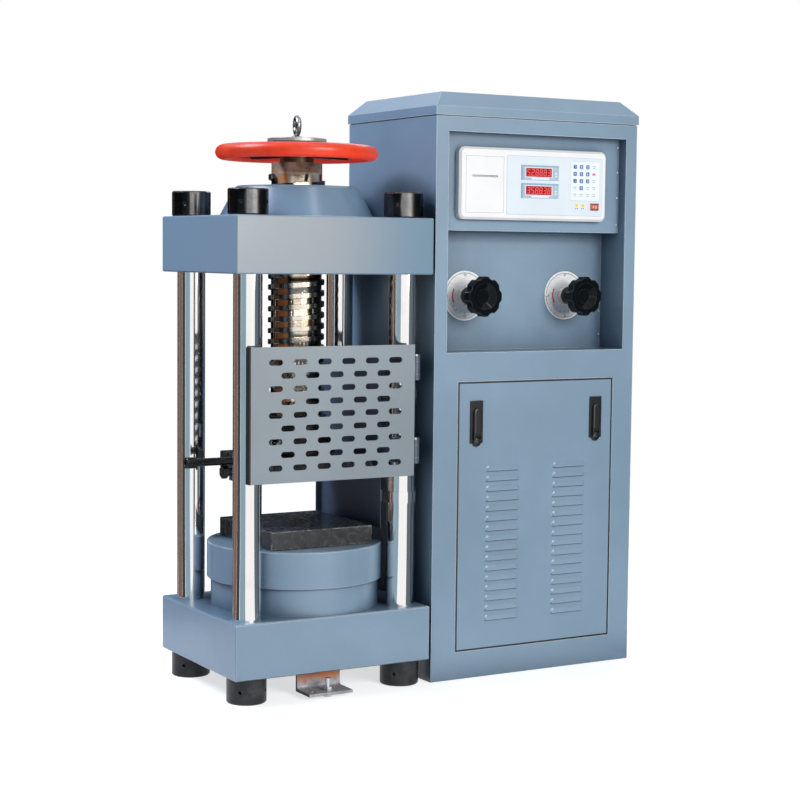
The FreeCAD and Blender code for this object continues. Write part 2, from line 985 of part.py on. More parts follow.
def guard_hinge_leaves():
    leaves = []
    sheet_back = guard_front + guard_sheet
    for z in hinge_heights:
        low, high = z - barrel_length / 2, z + barrel_length / 2
        barrel = upright(hinge_x, hinge_y, low, high, barrel_radius)
        leaf = box(
            guard_right - hinge_leaf_width,
            hinge_x,
            sheet_back,
            sheet_back + hinge_leaf_thickness,
            low,
            high,
        )
        leaf = joined([leaf, barrel])
        pin_hole = upright(hinge_x, hinge_y, low, high, hinge_pin_radius + hinge_clearance)
        leaves.append(leaf.cut(pin_hole))
    return Part.makeCompound(leaves)


def guard_clamps():
    clamps = []
    x, y = column_xs[1], column_ys[0]
    for z in hinge_heights:
        low, high = z - clamp_height / 2, z + clamp_height / 2
        ring = upright(x, y, low, high, column_radius + clamp_wall)
        lug = box(hinge_x - clamp_lug_width / 2, hinge_x + clamp_lug_width / 2, hinge_y, y, low, high)
        ear = upright(hinge_x, hinge_y, low, high, barrel_radius)
        body = joined([ring, lug, ear])
        gap_low = z - barrel_length / 2 - barrel_gap
        gap_high = z + barrel_length / 2 + barrel_gap
        reach = barrel_radius + clamp_room
        front, rear = hinge_y - reach, hinge_y + reach
        room = box(hinge_x - 2 * reach, hinge_x + reach, front, rear, gap_low, gap_high)
        tools = [
            upright(x, y, low, high, column_radius),
            room,
            upright(hinge_x, hinge_y, low, high, hinge_pin_radius),
        ]
        clamps.append(cut_all(body, tools))
    return Part.makeCompound(clamps)


def guard_hinge_pins():
    pins = []
    for z in hinge_heights:
        low, high = z - clamp_height / 2, z + clamp_height / 2
        pin = upright(hinge_x, hinge_y, low, high, hinge_pin_radius)
        head = upright(hinge_x, hinge_y, high, high + pin_head_height, pin_head_radius)
        pins.append(joined([pin, head]))
    return Part.makeCompound(pins)


def side_guard_plate():
    right = side_plate_left + side_plate_sheet
    plate = box(side_plate_left, right, side_plate_front, side_plate_back, side_plate_low, side_plate_high)
    lip = box(
        side_plate_left - side_plate_lip,
        side_plate_left,
        side_plate_back - side_plate_sheet,
        side_plate_back,
        side_plate_low,
        side_plate_high,
    )
    return joined([plate, lip])


def side_guard_clips():
    clips = []
    right = side_plate_left + side_plate_sheet
    tab_spans = (
        (column_ys[0], side_plate_front + clip_tab_depth),
        (column_ys[1] - clip_tab_depth, column_ys[1]),
    )
    for z in clip_heights:
        for y, span in zip(column_ys, tab_spans):
            low, high = z - clip_height / 2, z + clip_height / 2
            ring = upright(column_xs[1], y, low, high, column_radius + clip_wall)
            tab = box(right, right + clip_wall, span[0], span[1], low, high)
            solid_clip = joined([ring, tab])
            keep_out = box(0, right, 0, frame_depth, low, high)
            hole = upright(column_xs[1], y, low, high, column_radius)
            clips.append(cut_all(solid_clip, [hole, keep_out]))
    return Part.makeCompound(clips)


def floor_bracket():
    right = bracket_left + bracket_length
    front = bracket_back - bracket_depth
    foot = box(bracket_left, right, front, bracket_back, bracket_low, bracket_low + bracket_thickness)
    wall = box(
        bracket_left,
        right,
        bracket_back - bracket_thickness,
        bracket_back,
        bracket_low,
        foot_height,
    )
    inner = bracket_inner_fillet
    corner_y = bracket_back - bracket_thickness
    corner_z = bracket_low + bracket_thickness
    gusset = box(bracket_left, right, corner_y - inner, corner_y, corner_z, corner_z + inner)
    gusset = gusset.cut(crosswise(corner_y - inner, corner_z + inner, bracket_left, right, inner))
    angle = joined([foot, wall, gusset])
    outer = [
        edge
        for edge in angle.Edges
        if abs(edge.BoundBox.YMin - bracket_back) < 1e-6
        and abs(edge.BoundBox.ZMax - bracket_low) < 1e-6
        and edge.Length > bracket_length / 2
    ]
    angle = angle.makeFillet(bracket_outer_fillet, outer)
    hole_y = bracket_back - bracket_hole_back
    holes = []
    for offset in (bracket_free_hole, bracket_bolt_hole):
        holes.append(upright(bracket_left + offset, hole_y, bracket_low, corner_z, bracket_hole_radius))
    return cut_all(angle, holes)


def bracket_bolt():
    x = bracket_left + bracket_bolt_hole
    y = bracket_back - bracket_hole_back
    head = hexagon(x, y, bracket_low - bolt_head_height, bolt_across_flats, bolt_head_height)
    shank = upright(x, y, bracket_low, bracket_low + bolt_length, bolt_radius)
    bolt = joined([head, shank])
    nut_low = bracket_low + bracket_thickness
    nut = hexagon(x, y, nut_low, bolt_across_flats, bolt_nut_height)
    nut = nut.cut(upright(x, y, nut_low, nut_low + bolt_nut_height, bolt_radius))
    return Part.makeCompound([bolt, nut])


def cabinet_shell():
    outer = box(cabinet_left, cabinet_right, cabinet_front, cabinet_back - sheet, 0, cap_low_z - cap_gap)
    inner = box(
        cabinet_left + sheet,
        cabinet_right - sheet,
        cabinet_front + sheet,
        cabinet_back,
        0,
        cap_low_z - cap_gap,
    )
    recess = box(recess_left, recess_right, cabinet_front, cabinet_front + sheet, recess_low, recess_high)
    door_hole = box(
        door_left - door_gap,
        door_right + door_gap,
        cabinet_front,
        cabinet_front + sheet,
        door_low - door_gap,
        door_high + door_gap,
    )
    pipe_hole = crosswise(axis_y, frame_pipe_height, cabinet_left, cabinet_left + sheet, oil_port_radius)
    shell = cut_all(outer, [inner, recess, door_hole, pipe_hole])
    jamb_outer = box(
        door_left - door_gap - sheet,
        door_right + door_gap + sheet,
        cabinet_front + sheet,
        cabinet_front + jamb_depth,
        door_low - door_gap - sheet,
        door_high + door_gap + sheet,
    )
    jamb_inner = box(
        door_left - door_gap,
        door_right + door_gap,
        cabinet_front,
        cabinet_front + jamb_depth,
        door_low - door_gap,
        door_high + door_gap,
    )
    rests = []
    for x in louver_xs:
        middle = x + louver_width / 2
        low = door_low - door_gap
        high = door_low - door_rest_gap
        back = cabinet_front + door_flange
        left, right = middle - door_rest_width / 2, middle + door_rest_width / 2
        rests.append(box(left, right, cabinet_front + sheet, back, low, high))
    return joined([shell, jamb_outer.cut(jamb_inner)] + rests)


def cabinet_rear_panel():
    return box(
        cabinet_left,
        cabinet_right,
        cabinet_back - sheet,
        cabinet_back,
        0,
        cap_low_z - cap_gap,
    )


def cabinet_floor():
    left, right = cabinet_left + sheet, cabinet_right - sheet
    front, back = cabinet_front + sheet, cabinet_back - sheet
    block = box(left, right, front, back, 0, pan_lip)
    hollow = box(left + sheet, right - sheet, front + sheet, back - sheet, 0, pan_lip - sheet)
    return block.cut(hollow)


def cabinet_cap():
    left, right = cabinet_left - cap_overhang, cabinet_right + cap_overhang
    front, back = cabinet_front - cap_overhang, cabinet_back + cap_overhang
    band_top = cap_low_z + cap_band

    def layer(inset, z):
        points = [
            Vector(left + inset, front + inset, z),
            Vector(right - inset, front + inset, z),
            Vector(right - inset, back - inset, z),
            Vector(left + inset, back - inset, z),
        ]
        return Part.makePolygon(points + points[:1])

    band = box(left, right, front, back, cap_low_z, band_top)
    crown = Part.makeLoft([layer(0, band_top), layer(cap_bevel_inset, cabinet_height)], True, True)
    skin = joined([band, crown])
    band_hollow = box(left + sheet, right - sheet, front + sheet, back - sheet, cap_low_z + sheet, band_top)
    crown_hollow = Part.makeLoft(
        [layer(sheet, band_top), layer(cap_bevel_inset + sheet, cabinet_height - sheet)], True, True
    )
    collar_low = cap_low_z - cap_gap - cap_band
    collar = box(
        cabinet_left + sheet,
        cabinet_right - sheet,
        cabinet_front + sheet,
        cabinet_back - sheet,
        collar_low,
        cap_low_z,
    )
    opening = box(
        cabinet_left + 2 * sheet,
        cabinet_right - 2 * sheet,
        cabinet_front + 2 * sheet,
        cabinet_back - 2 * sheet,
        collar_low,
        cap_low_z + sheet,
    )
    hollow_skin = cut_all(skin, [band_hollow, crown_hollow])
    return joined([hollow_skin, collar]).cut(opening)


def recess_liner():
    front = cabinet_front + sheet
    outer = box(
        recess_left - sheet,
        recess_right + sheet,
        front,
        recess_back + sheet,
        recess_low - sheet,
        recess_high + sheet,
    )
    inner = box(recess_left, recess_right, front, recess_back, recess_low, recess_high)
    holes = [depthwise(x, knob_z, recess_back, recess_back + sheet, bonnet_radius) for x in knob_xs]
    return cut_all(outer, [inner] + holes)


def console_panel():
    front = console_front
    face = box(recess_left, recess_right, front, front + sheet, console_low, recess_high)
    under = box(recess_left, recess_right, front, recess_back, console_low, console_low + sheet)
    panel = joined([face, under])
    cut_out = box(
        display_left + display_rear_inset,
        display_right - display_rear_inset,
        front,
        front + sheet,
        display_low + display_rear_inset,
        display_high - display_rear_inset,
    )
    return panel.cut(cut_out)


def display_housing():
    bezel = box(display_left, display_right, display_front, console_front, display_low, display_high)
    bezel = bezel.makeFillet(display_corner, depth_edges(bezel))
    front_edges = [edge for edge in bezel.Edges if edge.BoundBox.YMax < display_front + 1e-3]
    bezel = bezel.makeChamfer(display_bevel, front_edges)
    rear = box(
        display_left + display_rear_inset,
        display_right - display_rear_inset,
        console_front,
        console_front + display_behind,
        display_low + display_rear_inset,
        display_high - display_rear_inset,
    )
    body = joined([bezel, rear])
    door_seat = box(
        bay_left - printer_door_gap,
        bay_right + printer_door_gap,
        display_front - overrun,
        display_front + printer_door_thickness + printer_door_gap,
        bay_low - printer_door_gap,
        bay_high + printer_door_gap,
    )
    bay = box(
        bay_left + bay_wall,
        bay_right - bay_wall,
        display_front,
        display_front + bay_depth,
        bay_low + bay_wall,
        bay_high - bay_wall,
    )
    rocker_hole = box(
        rocker_left - rocker_gap,
        rocker_left + rocker_width + rocker_gap,
        display_front - overrun,
        display_front + rocker_depth + rocker_gap,
        rocker_low - rocker_gap,
        rocker_low + rocker_height + rocker_gap,
    )
    return cut_all(body, [door_seat, bay, rocker_hole])


def printer_door():
    back = display_front + printer_door_thickness
    plate = box(bay_left, bay_right, display_front, back, bay_low, bay_high)
    middle = (bay_left + bay_right) / 2
    paper_slot = box(
        middle - printer_slot_width / 2,
        middle + printer_slot_width / 2,
        display_front,
        back,
        printer_slot_z - printer_slot_thickness / 2,
        printer_slot_z + printer_slot_thickness / 2,
    )
    return plate.cut(paper_slot)


def paper_roll():
    middle = (bay_left + bay_right) / 2
    y = display_front + bay_depth / 2 + printer_door_thickness / 2
    roll = crosswise(y, paper_z, middle - paper_width / 2, middle + paper_width / 2, paper_radius)
    core = crosswise(y, paper_z, middle - paper_width, middle + paper_width, paper_core_radius)
    spindle = crosswise(y, paper_z, bay_left + bay_wall, bay_right - bay_wall, spindle_radius)
    paper = roll.cut(core).fuse(core.common(roll).cut(spindle)).removeSplitter()
    return Part.makeCompound([paper, spindle])


def display_windows():
    solids = []
    for low in window_lows:
        bezel = box(
            window_left,
            window_left + window_width,
            display_front - window_thickness,
            display_front,
            low,
            low + window_height,
        )
        glass = box(
            window_left + glass_left,
            window_left + glass_left + glass_width,
            display_front - window_thickness,
            display_front - window_thickness + glass_thickness,
            low + glass_low,
            low + glass_low + glass_height,
        )
        solids.append(bezel.cut(glass))
        solids.append(glass)
    return Part.makeCompound(solids)


def keypad_keys():
    keys = []
    front = display_front - key_thickness
    for row in range(key_rows):
        for column in range(key_columns):
            x = key_left + key_pitch_x * column
            z = key_low + key_pitch_z * row
            keys.append(box(x, x + key_width, front, display_front, z, z + key_height))
    for step in range(2):
        x = menu_key_left + menu_key_pitch * step
        top = menu_key_low + menu_key_height
        keys.append(box(x, x + menu_key_width, front, display_front, menu_key_low, top))
    return Part.makeCompound(keys)


def rocker_switch():
    half = rocker_width / 2
    middle = rocker_left + half
    rise = math.tan(math.radians(rocker_tilt)) * half
    root_y = display_front + rocker_depth - rocker_root_gap
    points = [
        Vector(rocker_left, display_front - rocker_proud + rise, 0),
        Vector(middle, display_front - rocker_proud, 0),
        Vector(rocker_left + rocker_width, display_front - rocker_proud - rise, 0),
        Vector(middle + rocker_root_width / 2, root_y, 0),
        Vector(middle - rocker_root_width / 2, root_y, 0),
    ]
    face = Part.Face(Part.makePolygon(points + points[:1]))
    face.translate(Vector(0, 0, rocker_low))
    return face.extrude(Vector(0, 0, rocker_height))


def dial_plates():
    plates = []
    front = recess_back - dial_thickness
    for x in knob_xs:
        plate = depthwise(x, knob_z, front, recess_back, dial_radius)
        plates.append(plate.cut(depthwise(x, knob_z, front, recess_back, bonnet_radius)))
    return Part.makeCompound(plates)


def valve_knob(x):
    """A star knob with a dished front, its tapered neck and the valve stem."""
    disc_back = knob_front + knob_thickness
    neck_back = recess_back - bonnet_length - knob_gap
    disc = Part.makeCylinder(knob_radius, knob_thickness, Vector(0, 0, 0))
    notches = []
    for step in range(knob_lobes):
        turn = 2 * math.pi * (step + 0.5) / knob_lobes
        place = Vector(knob_notch_centre * math.cos(turn), knob_notch_centre * math.sin(turn), 0)
        notches.append(Part.makeCylinder(knob_notch_radius, knob_thickness, place))
    disc = cut_all(disc, notches)
    outline = [
        (0, -overrun),
        (knob_radius - knob_edge, -overrun),
        (knob_radius - knob_edge, 0),
        (knob_radius, knob_edge),
        (knob_radius, knob_thickness - 2 * knob_edge),
        (knob_radius - 3 * knob_edge, knob_thickness),
        (0, knob_thickness),
    ]
    disc = disc.common(turned(0, 0, outline))
    dish = Part.makeCone(knob_dish_floor_radius, knob_dish_radius, knob_dish_depth)
    dish.rotate(Vector(0, 0, 0), Vector(1, 0, 0), 180)
    dish.translate(Vector(0, 0, knob_dish_depth))
    disc = disc.cut(dish)
    neck_length = neck_back - disc_back
    neck = turned(
        0,
        0,
        [
            (0, knob_thickness - overrun),
            (knob_shoulder_radius, knob_thickness - overrun),
            (knob_shoulder_radius, knob_thickness + knob_shoulder_length),
            (knob_neck_radius, knob_thickness + neck_length * knob_taper_share),
            (knob_neck_radius, knob_thickness + neck_length),
            (0, knob_thickness + neck_length),
        ],
    )
    stem_end = recess_back - bonnet_length + stem_in_bonnet - knob_front
    stem = Part.makeCylinder(stem_radius, stem_end - knob_thickness, Vector(0, 0, knob_thickness))
    knob = joined([disc, neck, stem])
    knob.rotate(Vector(0, 0, 0), Vector(1, 0, 0), -90)
    knob.translate(Vector(x, knob_front, knob_z))
    return knob


def valve_block():
    left = knob_xs[0] - valve_block_margin
    right = knob_xs[1] + valve_block_margin
    back = recess_back + sheet + valve_block_depth
    block = box(
        left,
        right,
        recess_back + sheet,
        back,
        knob_z - valve_block_height / 2,
        knob_z + valve_block_height / 2,
    )
    solids = [block]
    for x in knob_xs:
        solids.append(depthwise(x, knob_z, recess_back - bonnet_length, recess_back + sheet, bonnet_radius))
    sensor_x = (left + right) / 2
    top = knob_z + valve_block_height / 2
    solids.append(upright(sensor_x, back - valve_block_depth / 2, top, top + sensor_length, sensor_radius))
    body = joined(solids)
    holes = []
    for x in knob_xs:
        end = recess_back - bonnet_length + stem_in_bonnet + stem_end_gap
        holes.append(depthwise(x, knob_z, recess_back - bonnet_length, end, stem_radius + stem_clearance))
    return cut_all(body, holes)


def louver_hood(x, top):
    """A pressed louver: its hood stands out of the door and is open below."""
    back = cabinet_front
    front = back - louver_proud
    low = top - louver_height

    def loop(inset, z, y0, y1):
        points = [
            Vector(x + inset, y1, z),
            Vector(x + louver_slope + inset, y0, z),
            Vector(x + louver_width - louver_slope - inset, y0, z),
            Vector(x + louver_width - inset, y1, z),
        ]
        return Part.makePolygon(points + points[:1])

    outer_loops = [
        loop(0, low, front, back),
        loop(louver_slope, top, back - louver_lip, back),
    ]
    inner_loops = [
        loop(louver_sheet, low, front + louver_sheet, back + overrun),
        loop(louver_slope, top - 2 * louver_sheet, back - louver_lip / 2, back + overrun),
    ]
    return Part.makeLoft(outer_loops, True, True).cut(Part.makeLoft(inner_loops, True, True))


def door_panel():
    front = cabinet_front
    outer = box(door_left, door_right, front, front + door_flange, door_low, door_high)
    inner = box(
        door_left + sheet,
        door_right - sheet,
        front + sheet,
        front + door_flange,
        door_low + sheet,
        door_high - sheet,
    )
    tools = [inner]
    hoods = []
    for x in louver_xs:
        for step in range(louver_count):
            top = louver_top - louver_pitch * step
            low = top - louver_height
            tools.append(
                box(
                    x + louver_slope,
                    x + louver_width - louver_slope,
                    front,
                    front + sheet,
                    low,
                    low + louver_mouth,
                )
            )
            hoods.append(louver_hood(x, top))
    for x in lock_xs:
        tools.append(depthwise(x, lock_z, front, front + sheet, spindle_shaft_radius + spindle_clearance))
    panel = cut_all(outer, tools)
    return panel.fuse(hoods)


def door_lock_plates():
    plates = []
    back = cabinet_front
    for x in lock_xs:
        low, high = lock_plate_low, lock_plate_low + lock_plate_height
        half = lock_plate_width / 2
        plate = box(x - half, x + half, back - lock_plate_thickness, back, low + half, high)
        foot = depthwise(x, low + half, back - lock_plate_thickness, back, half)
        plate = joined([plate, foot])
        rim = [edge for edge in plate.Edges if edge.BoundBox.YMax < back - lock_plate_thickness + 1e-3]
        plate = plate.makeChamfer(lock_plate_edge, rim)
        shaft = spindle_shaft_radius + spindle_clearance
        plates.append(plate.cut(depthwise(x, lock_z, back - lock_plate_thickness, back, shaft)))
    return Part.makeCompound(plates)


def lock_spindle(x):
    """The fork in front of a lock plate, its shaft and the cam behind the door."""
    fork_front = handle_front
    fork_back = fork_front + handle_thickness
    half = fork_width / 2
    low, high = lock_z - fork_length / 2, lock_z + fork_length / 2
    fork = box(x - half, x + half, fork_front, fork_back, low, high)
    inner = half - fork_ear
    room = box(x - inner, x + inner, fork_front, fork_back, lock_z - handle_thickness, lock_z + fork_length)
    fork = fork.cut(room)
    pin = crosswise(handle_pivot_y, lock_z, x - half, x + half, handle_pin_radius)
    web = box(x - inner, x + inner, fork_back - fork_web, fork_back, low, lock_z)
    cam_front = cabinet_front + jamb_depth + cam_gap
    shaft = depthwise(x, lock_z, fork_back - fork_web, cam_front + cam_thickness, spindle_shaft_radius)
    cam = box(
        x - cam_width / 2,
        x + cam_width / 2,
        cam_front,
        cam_front + cam_thickness,
        lock_z - cam_width / 2,
        lock_z - cam_width / 2 + cam_length,
    )
    return joined([fork, web, shaft, cam, pin])


def lock_handle(x):
    """A swing handle on its cross pin, with a rounded top end."""
    back = handle_front + handle_thickness - fork_web - handle_web_gap
    inner = fork_width / 2 - fork_ear - fork_gap
    neck_radius = back - handle_pivot_y
    neck = crosswise(handle_pivot_y, lock_z, x - inner, x + inner, neck_radius)
    half = handle_width / 2
    grip_low = lock_z + fork_length / 2 + handle_grip_gap
    grip_high = grip_low + handle_length - half
    tongue = box(x - inner, x + inner, handle_pivot_y - neck_radius, back, lock_z, grip_low + handle_lap)
    grip = box(x - half, x + half, handle_front, back, grip_low, grip_high)
    top = depthwise(x, grip_high, handle_front, back, half)
    handle = joined([neck, tongue, grip, top])
    pin_hole = crosswise(handle_pivot_y, lock_z, x - half, x + half, handle_pin_radius + handle_clearance)
    return handle.cut(pin_hole)


def oil_tank():
    block = box(tank_left, tank_right, tank_front, tank_back, pan_lip, tank_top)
    hollow = box(
        tank_left + tank_wall,
        tank_right - tank_wall,
        tank_front + tank_wall,
        tank_back - tank_wall,
        pan_lip + tank_wall,
        tank_top,
    )
    return block.cut(hollow)


def oil_tank_lid():
    lid = box(
        tank_left - tank_lid_lap,
        tank_right + tank_lid_lap,
        tank_front - tank_lid_lap,
        tank_back + tank_lid_lap,
        tank_top,
        tank_top + tank_lid,
    )
    holes = [
        upright(motor_x, motor_y, tank_top, tank_top + tank_lid, shaft_radius + shaft_room),
        upright(pump_outlet_x, motor_y, tank_top, tank_top + tank_lid, pipe_radius),
        upright(return_x, motor_y, tank_top, tank_top + tank_lid, pipe_radius),
    ]
    return cut_all(lid, holes)


def drive_motor():
    low = tank_top + tank_lid
    foot = upright(motor_x, motor_y, low, low + motor_foot, motor_foot_radius)
    body = upright(motor_x, motor_y, low + motor_foot, low + motor_height, motor_radius)
    grooves = []
    for step in range(fin_count):
        turn = 360.0 / fin_count * step
        groove = box(
            motor_radius - fin_depth,
            motor_radius + overrun,
            -fin_width / 2,
            fin_width / 2,
            low + motor_foot + fin_rise,
            low + motor_height,
        )
        groove.rotate(Vector(0, 0, 0), Vector(0, 0, 1), turn)
        groove.translate(Vector(motor_x, motor_y, 0))
        grooves.append(groove)
    body = cut_all(body, grooves)
    fan_low = low + motor_height
    fan = upright(motor_x, motor_y, fan_low, fan_low + motor_fan_height, motor_fan_radius)
    shaft = upright(motor_x, motor_y, tank_top - shaft_length, low, shaft_radius)
    return joined([foot, body, fan, shaft])


def oil_pump():
    top = tank_top - shaft_length / 2
    flange_low = tank_top - pump_flange_thickness
    flange = upright(motor_x, motor_y, flange_low, tank_top, pump_radius + pump_flange_lap)
    neck = upright(motor_x, motor_y, top, tank_top, pump_neck_radius)
    body = upright(motor_x, motor_y, top - pump_height, top, pump_radius)
    pump = joined([flange, neck, body])
    bore = upright(motor_x, motor_y, tank_top - shaft_length, tank_top, shaft_radius)
    return pump.cut(bore)


def pipe(points, radius, bore):
    """A tube along straight runs joined by bends of one radius."""
    edges = []
    start = points[0]
    for before, corner, after in zip(points, points[1:], points[2:]):
        into = (corner - before).normalize()
        out = (after - corner).normalize()
        turn = into.getAngle(out)
        setback = pipe_bend * math.tan(turn / 2)
        first, last = corner - into * setback, corner + out * setback
        middle_direction = (out - into).normalize()
        centre = corner + middle_direction * (pipe_bend / math.cos(turn / 2))
        middle = centre - middle_direction * pipe_bend
        edges.append(Part.makeLine(start, first))
        edges.append(Part.Arc(first, middle, last).toShape())
        start = last
    edges.append(Part.makeLine(start, points[-1]))
    path = Part.Wire(edges)
    direction = (points[1] - points[0]).normalize()
    outer = path.makePipeShell([Part.Wire([Part.makeCircle(radius, points[0], direction)])], True, False)
    inner = path.makePipeShell([Part.Wire([Part.makeCircle(bore, points[0], direction)])], True, False)
    return outer.cut(inner)


def oil_pipes():
    """The pump, return and load frame lines, all of steel tube."""
    block_low = knob_z - valve_block_height / 2
    block_y = recess_back + sheet + valve_block_depth / 2
    lines = []
    for x in (pump_outlet_x, return_x):
        points = [
            Vector(x, motor_y, tank_top - shaft_length),
            Vector(x, motor_y, block_low - pipe_drop),
            Vector(x, block_y, block_low - pipe_drop),
            Vector(x, block_y, block_low),
        ]
        lines.append(pipe(points, pipe_radius, pipe_bore))
    points = [
        Vector(axis_x + bore_radius, axis_y, frame_pipe_height),
        Vector(frame_pipe_x, axis_y, frame_pipe_height),
        Vector(frame_pipe_x, axis_y, block_low - pipe_drop),
        Vector(frame_pipe_x, block_y, block_low - pipe_drop),
        Vector(frame_pipe_x, block_y, block_low),
    ]
    lines.append(pipe(points, pipe_radius, pipe_bore))
    return Part.makeCompound(lines)


nodes = {
    "base_beam": base_beam,
    "top_beam": top_beam,
    "columns": columns,
    "column_nuts": column_nuts,
    "nut_housing": nut_housing,
    "screw_nut": screw_nut,
    "lead_screw": lead_screw,
    "handwheel_rim": handwheel_rim,
    "handwheel_spider": handwheel_spider,
    "wheel_lock_plate": wheel_lock_plate,
    "lifting_eye": lifting_eye,
    "ball_seat": ball_seat,
    "platen_ball": platen_ball,
    "hanger_screws": hanger_screws,
    "upper_platen": upper_platen,
    "stay_block": stay_block,
    "stay_rod": stay_rod,
    "stay_bolt": stay_bolt,
    "cylinder": cylinder,
    "ram": ram,
    "ram_seal": ram_seal,
    "ram_cap": ram_cap,
    "centre_pin": centre_pin,
    "lower_platen": lower_platen,
    "guard_panel": guard_panel,
    "guard_edge_trim": guard_edge_trim,
    "guard_hinge_leaves": guard_hinge_leaves,
    "guard_clamps": guard_clamps,
    "guard_hinge_pins": guard_hinge_pins,
    "side_guard_plate": side_guard_plate,
    "side_guard_clips": side_guard_clips,
    "floor_bracket": floor_bracket,
    "bracket_bolt": bracket_bolt,
    "cabinet_shell": cabinet_shell,
    "cabinet_rear_panel": cabinet_rear_panel,
    "cabinet_floor": cabinet_floor,
    "cabinet_cap": cabinet_cap,
    "recess_liner": recess_liner,
    "console_panel": console_panel,
    "display_housing": display_housing,
    "printer_door": printer_door,
    "paper_roll": paper_roll,
    "display_windows": display_windows,
    "keypad_keys": keypad_keys,
    "rocker_switch": rocker_switch,
    "dial_plates": dial_plates,
    "feed_valve_knob": lambda: valve_knob(knob_xs[0]),
    "return_valve_knob": lambda: valve_knob(knob_xs[1]),
    "valve_block": valve_block,
    "door_panel": door_panel,
    "door_lock_plates": door_lock_plates,
    "left_lock_spindle": lambda: lock_spindle(lock_xs[0]),
    "right_lock_spindle": lambda: lock_spindle(lock_xs[1]),
    "left_lock_handle": lambda: lock_handle(lock_xs[0]),
    "right_lock_handle": lambda: lock_handle(lock_xs[1]),
    "oil_tank": oil_tank,
    "oil_tank_lid": oil_tank_lid,
    "drive_motor": drive_motor,
    "oil_pump": oil_pump,
    "oil_pipes": oil_pipes,
}

os.makedirs("parts", exist_ok=True)
for name, build in nodes.items():
    shape = build()
    shape.translate(-origin)
    shape.exportStep(os.path.join("parts", name + ".step"))
    print(name, len(shape.Solids), "solids", round(shape.Volume / 1000.0, 1), "cm3", shape.isValid())
print("origin", origin)
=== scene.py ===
import math

import bmesh
import bpy
from mathutils import Matrix, Vector


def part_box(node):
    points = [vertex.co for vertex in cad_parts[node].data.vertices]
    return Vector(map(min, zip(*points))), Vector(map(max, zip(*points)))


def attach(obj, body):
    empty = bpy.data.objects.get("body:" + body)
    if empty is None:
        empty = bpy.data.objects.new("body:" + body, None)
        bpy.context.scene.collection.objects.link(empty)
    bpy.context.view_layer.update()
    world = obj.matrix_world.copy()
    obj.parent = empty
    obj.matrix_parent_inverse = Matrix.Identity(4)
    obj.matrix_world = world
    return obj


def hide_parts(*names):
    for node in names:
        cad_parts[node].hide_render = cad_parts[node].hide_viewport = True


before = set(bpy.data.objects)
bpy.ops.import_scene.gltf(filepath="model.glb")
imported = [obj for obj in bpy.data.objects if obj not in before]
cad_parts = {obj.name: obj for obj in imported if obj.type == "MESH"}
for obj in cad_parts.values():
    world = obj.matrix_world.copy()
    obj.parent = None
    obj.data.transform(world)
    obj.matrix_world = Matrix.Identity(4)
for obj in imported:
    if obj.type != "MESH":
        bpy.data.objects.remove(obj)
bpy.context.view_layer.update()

# The looks of a hydraulic compression testing machine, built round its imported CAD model.
# Sizes are in millimetres from the load frame's left front corner and the floor, as in the
# CAD source, and mm() turns them into the model's own metres.

frame_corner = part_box("base_beam")[0]


def mm(x, y, z):
    """A point of the machine, in metres."""
    return Vector((frame_corner.x + x / 1000, frame_corner.y + y / 1000, z / 1000))


def span(node):
    """The lowest and highest corner of a CAD node, in millimetres of the machine."""
    low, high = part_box(node)
    start = Vector((frame_corner.x, frame_corner.y, 0))
    return (low - start) * 1000, (high - start) * 1000


def add_object(name, data):
    made = bpy.data.objects.new(name, data)
    bpy.context.scene.collection.objects.link(made)
    return made


def add_shape(name, shape, look):
    """A new object from a bmesh, with its material."""
    mesh = bpy.data.meshes.new(name)
    shape.to_mesh(mesh)
    shape.free()
    mesh.materials.append(look)
    return add_object(name, mesh)


# Camera
CAMERA_AZIMUTH = 30.184
CAMERA_ELEVATION = -4.588
CAMERA_ROLL = 0.579
CAMERA_PLACE = (-2.01615, -3.47535, 0.9126)
CAMERA_LENS = 82.77
CAMERA_SENSOR = 36
CAMERA_REACH = 100


def make_camera():
    turn, rise, roll = (math.radians(a) for a in (CAMERA_AZIMUTH, CAMERA_ELEVATION, CAMERA_ROLL))
    ahead = Vector(
        (math.sin(turn) * math.cos(rise), math.cos(turn) * math.cos(rise), math.sin(rise))
    )
    level = Vector((math.cos(turn), -math.sin(turn), 0))
    upward = level.cross(ahead)
    right = level * math.cos(roll) + upward * math.sin(roll)
    up = upward * math.cos(roll) - level * math.sin(roll)
    data = bpy.data.cameras.new("camera")
    data.lens = CAMERA_LENS
    data.sensor_width = CAMERA_SENSOR
    data.clip_end = CAMERA_REACH
    camera = add_object("camera", data)
    turned_to = Matrix((right, up, -ahead)).transposed().to_4x4()
    camera.matrix_world = Matrix.Translation(CAMERA_PLACE) @ turned_to
    bpy.context.scene.camera = camera
    return ahead, level


camera_ahead, camera_level = make_camera()


def sideways(bearing):
    """The flat direction at a bearing, in degrees from the camera's side of the load frame."""
    toward = Vector((-camera_ahead.x, -camera_ahead.y, 0)).normalized()
    bearing = math.radians(bearing)
    return toward * math.cos(bearing) + camera_level * math.sin(bearing)


class Wire:
    """A shader socket that can be used in sums, products and comparisons."""

    def __init__(self, tree, socket):
        self.tree = tree
        self.socket = socket

    def __add__(self, other):
        return self.tree.maths("ADD", self, other)

    def __sub__(self, other):
        return self.tree.maths("SUBTRACT", self, other)

    def __rsub__(self, other):
        return self.tree.maths("SUBTRACT", other, self)

    def __mul__(self, other):
        return self.tree.maths("MULTIPLY", self, other)

    def __truediv__(self, other):
        return self.tree.maths("DIVIDE", self, other)

    def __pow__(self, other):
        return self.tree.maths("POWER", self, other)

    def __gt__(self, other):
        return self.tree.maths("GREATER_THAN", self, other)

    def __lt__(self, other):
        return self.tree.maths("LESS_THAN", self, other)


SURFACE_SAMPLES = 6


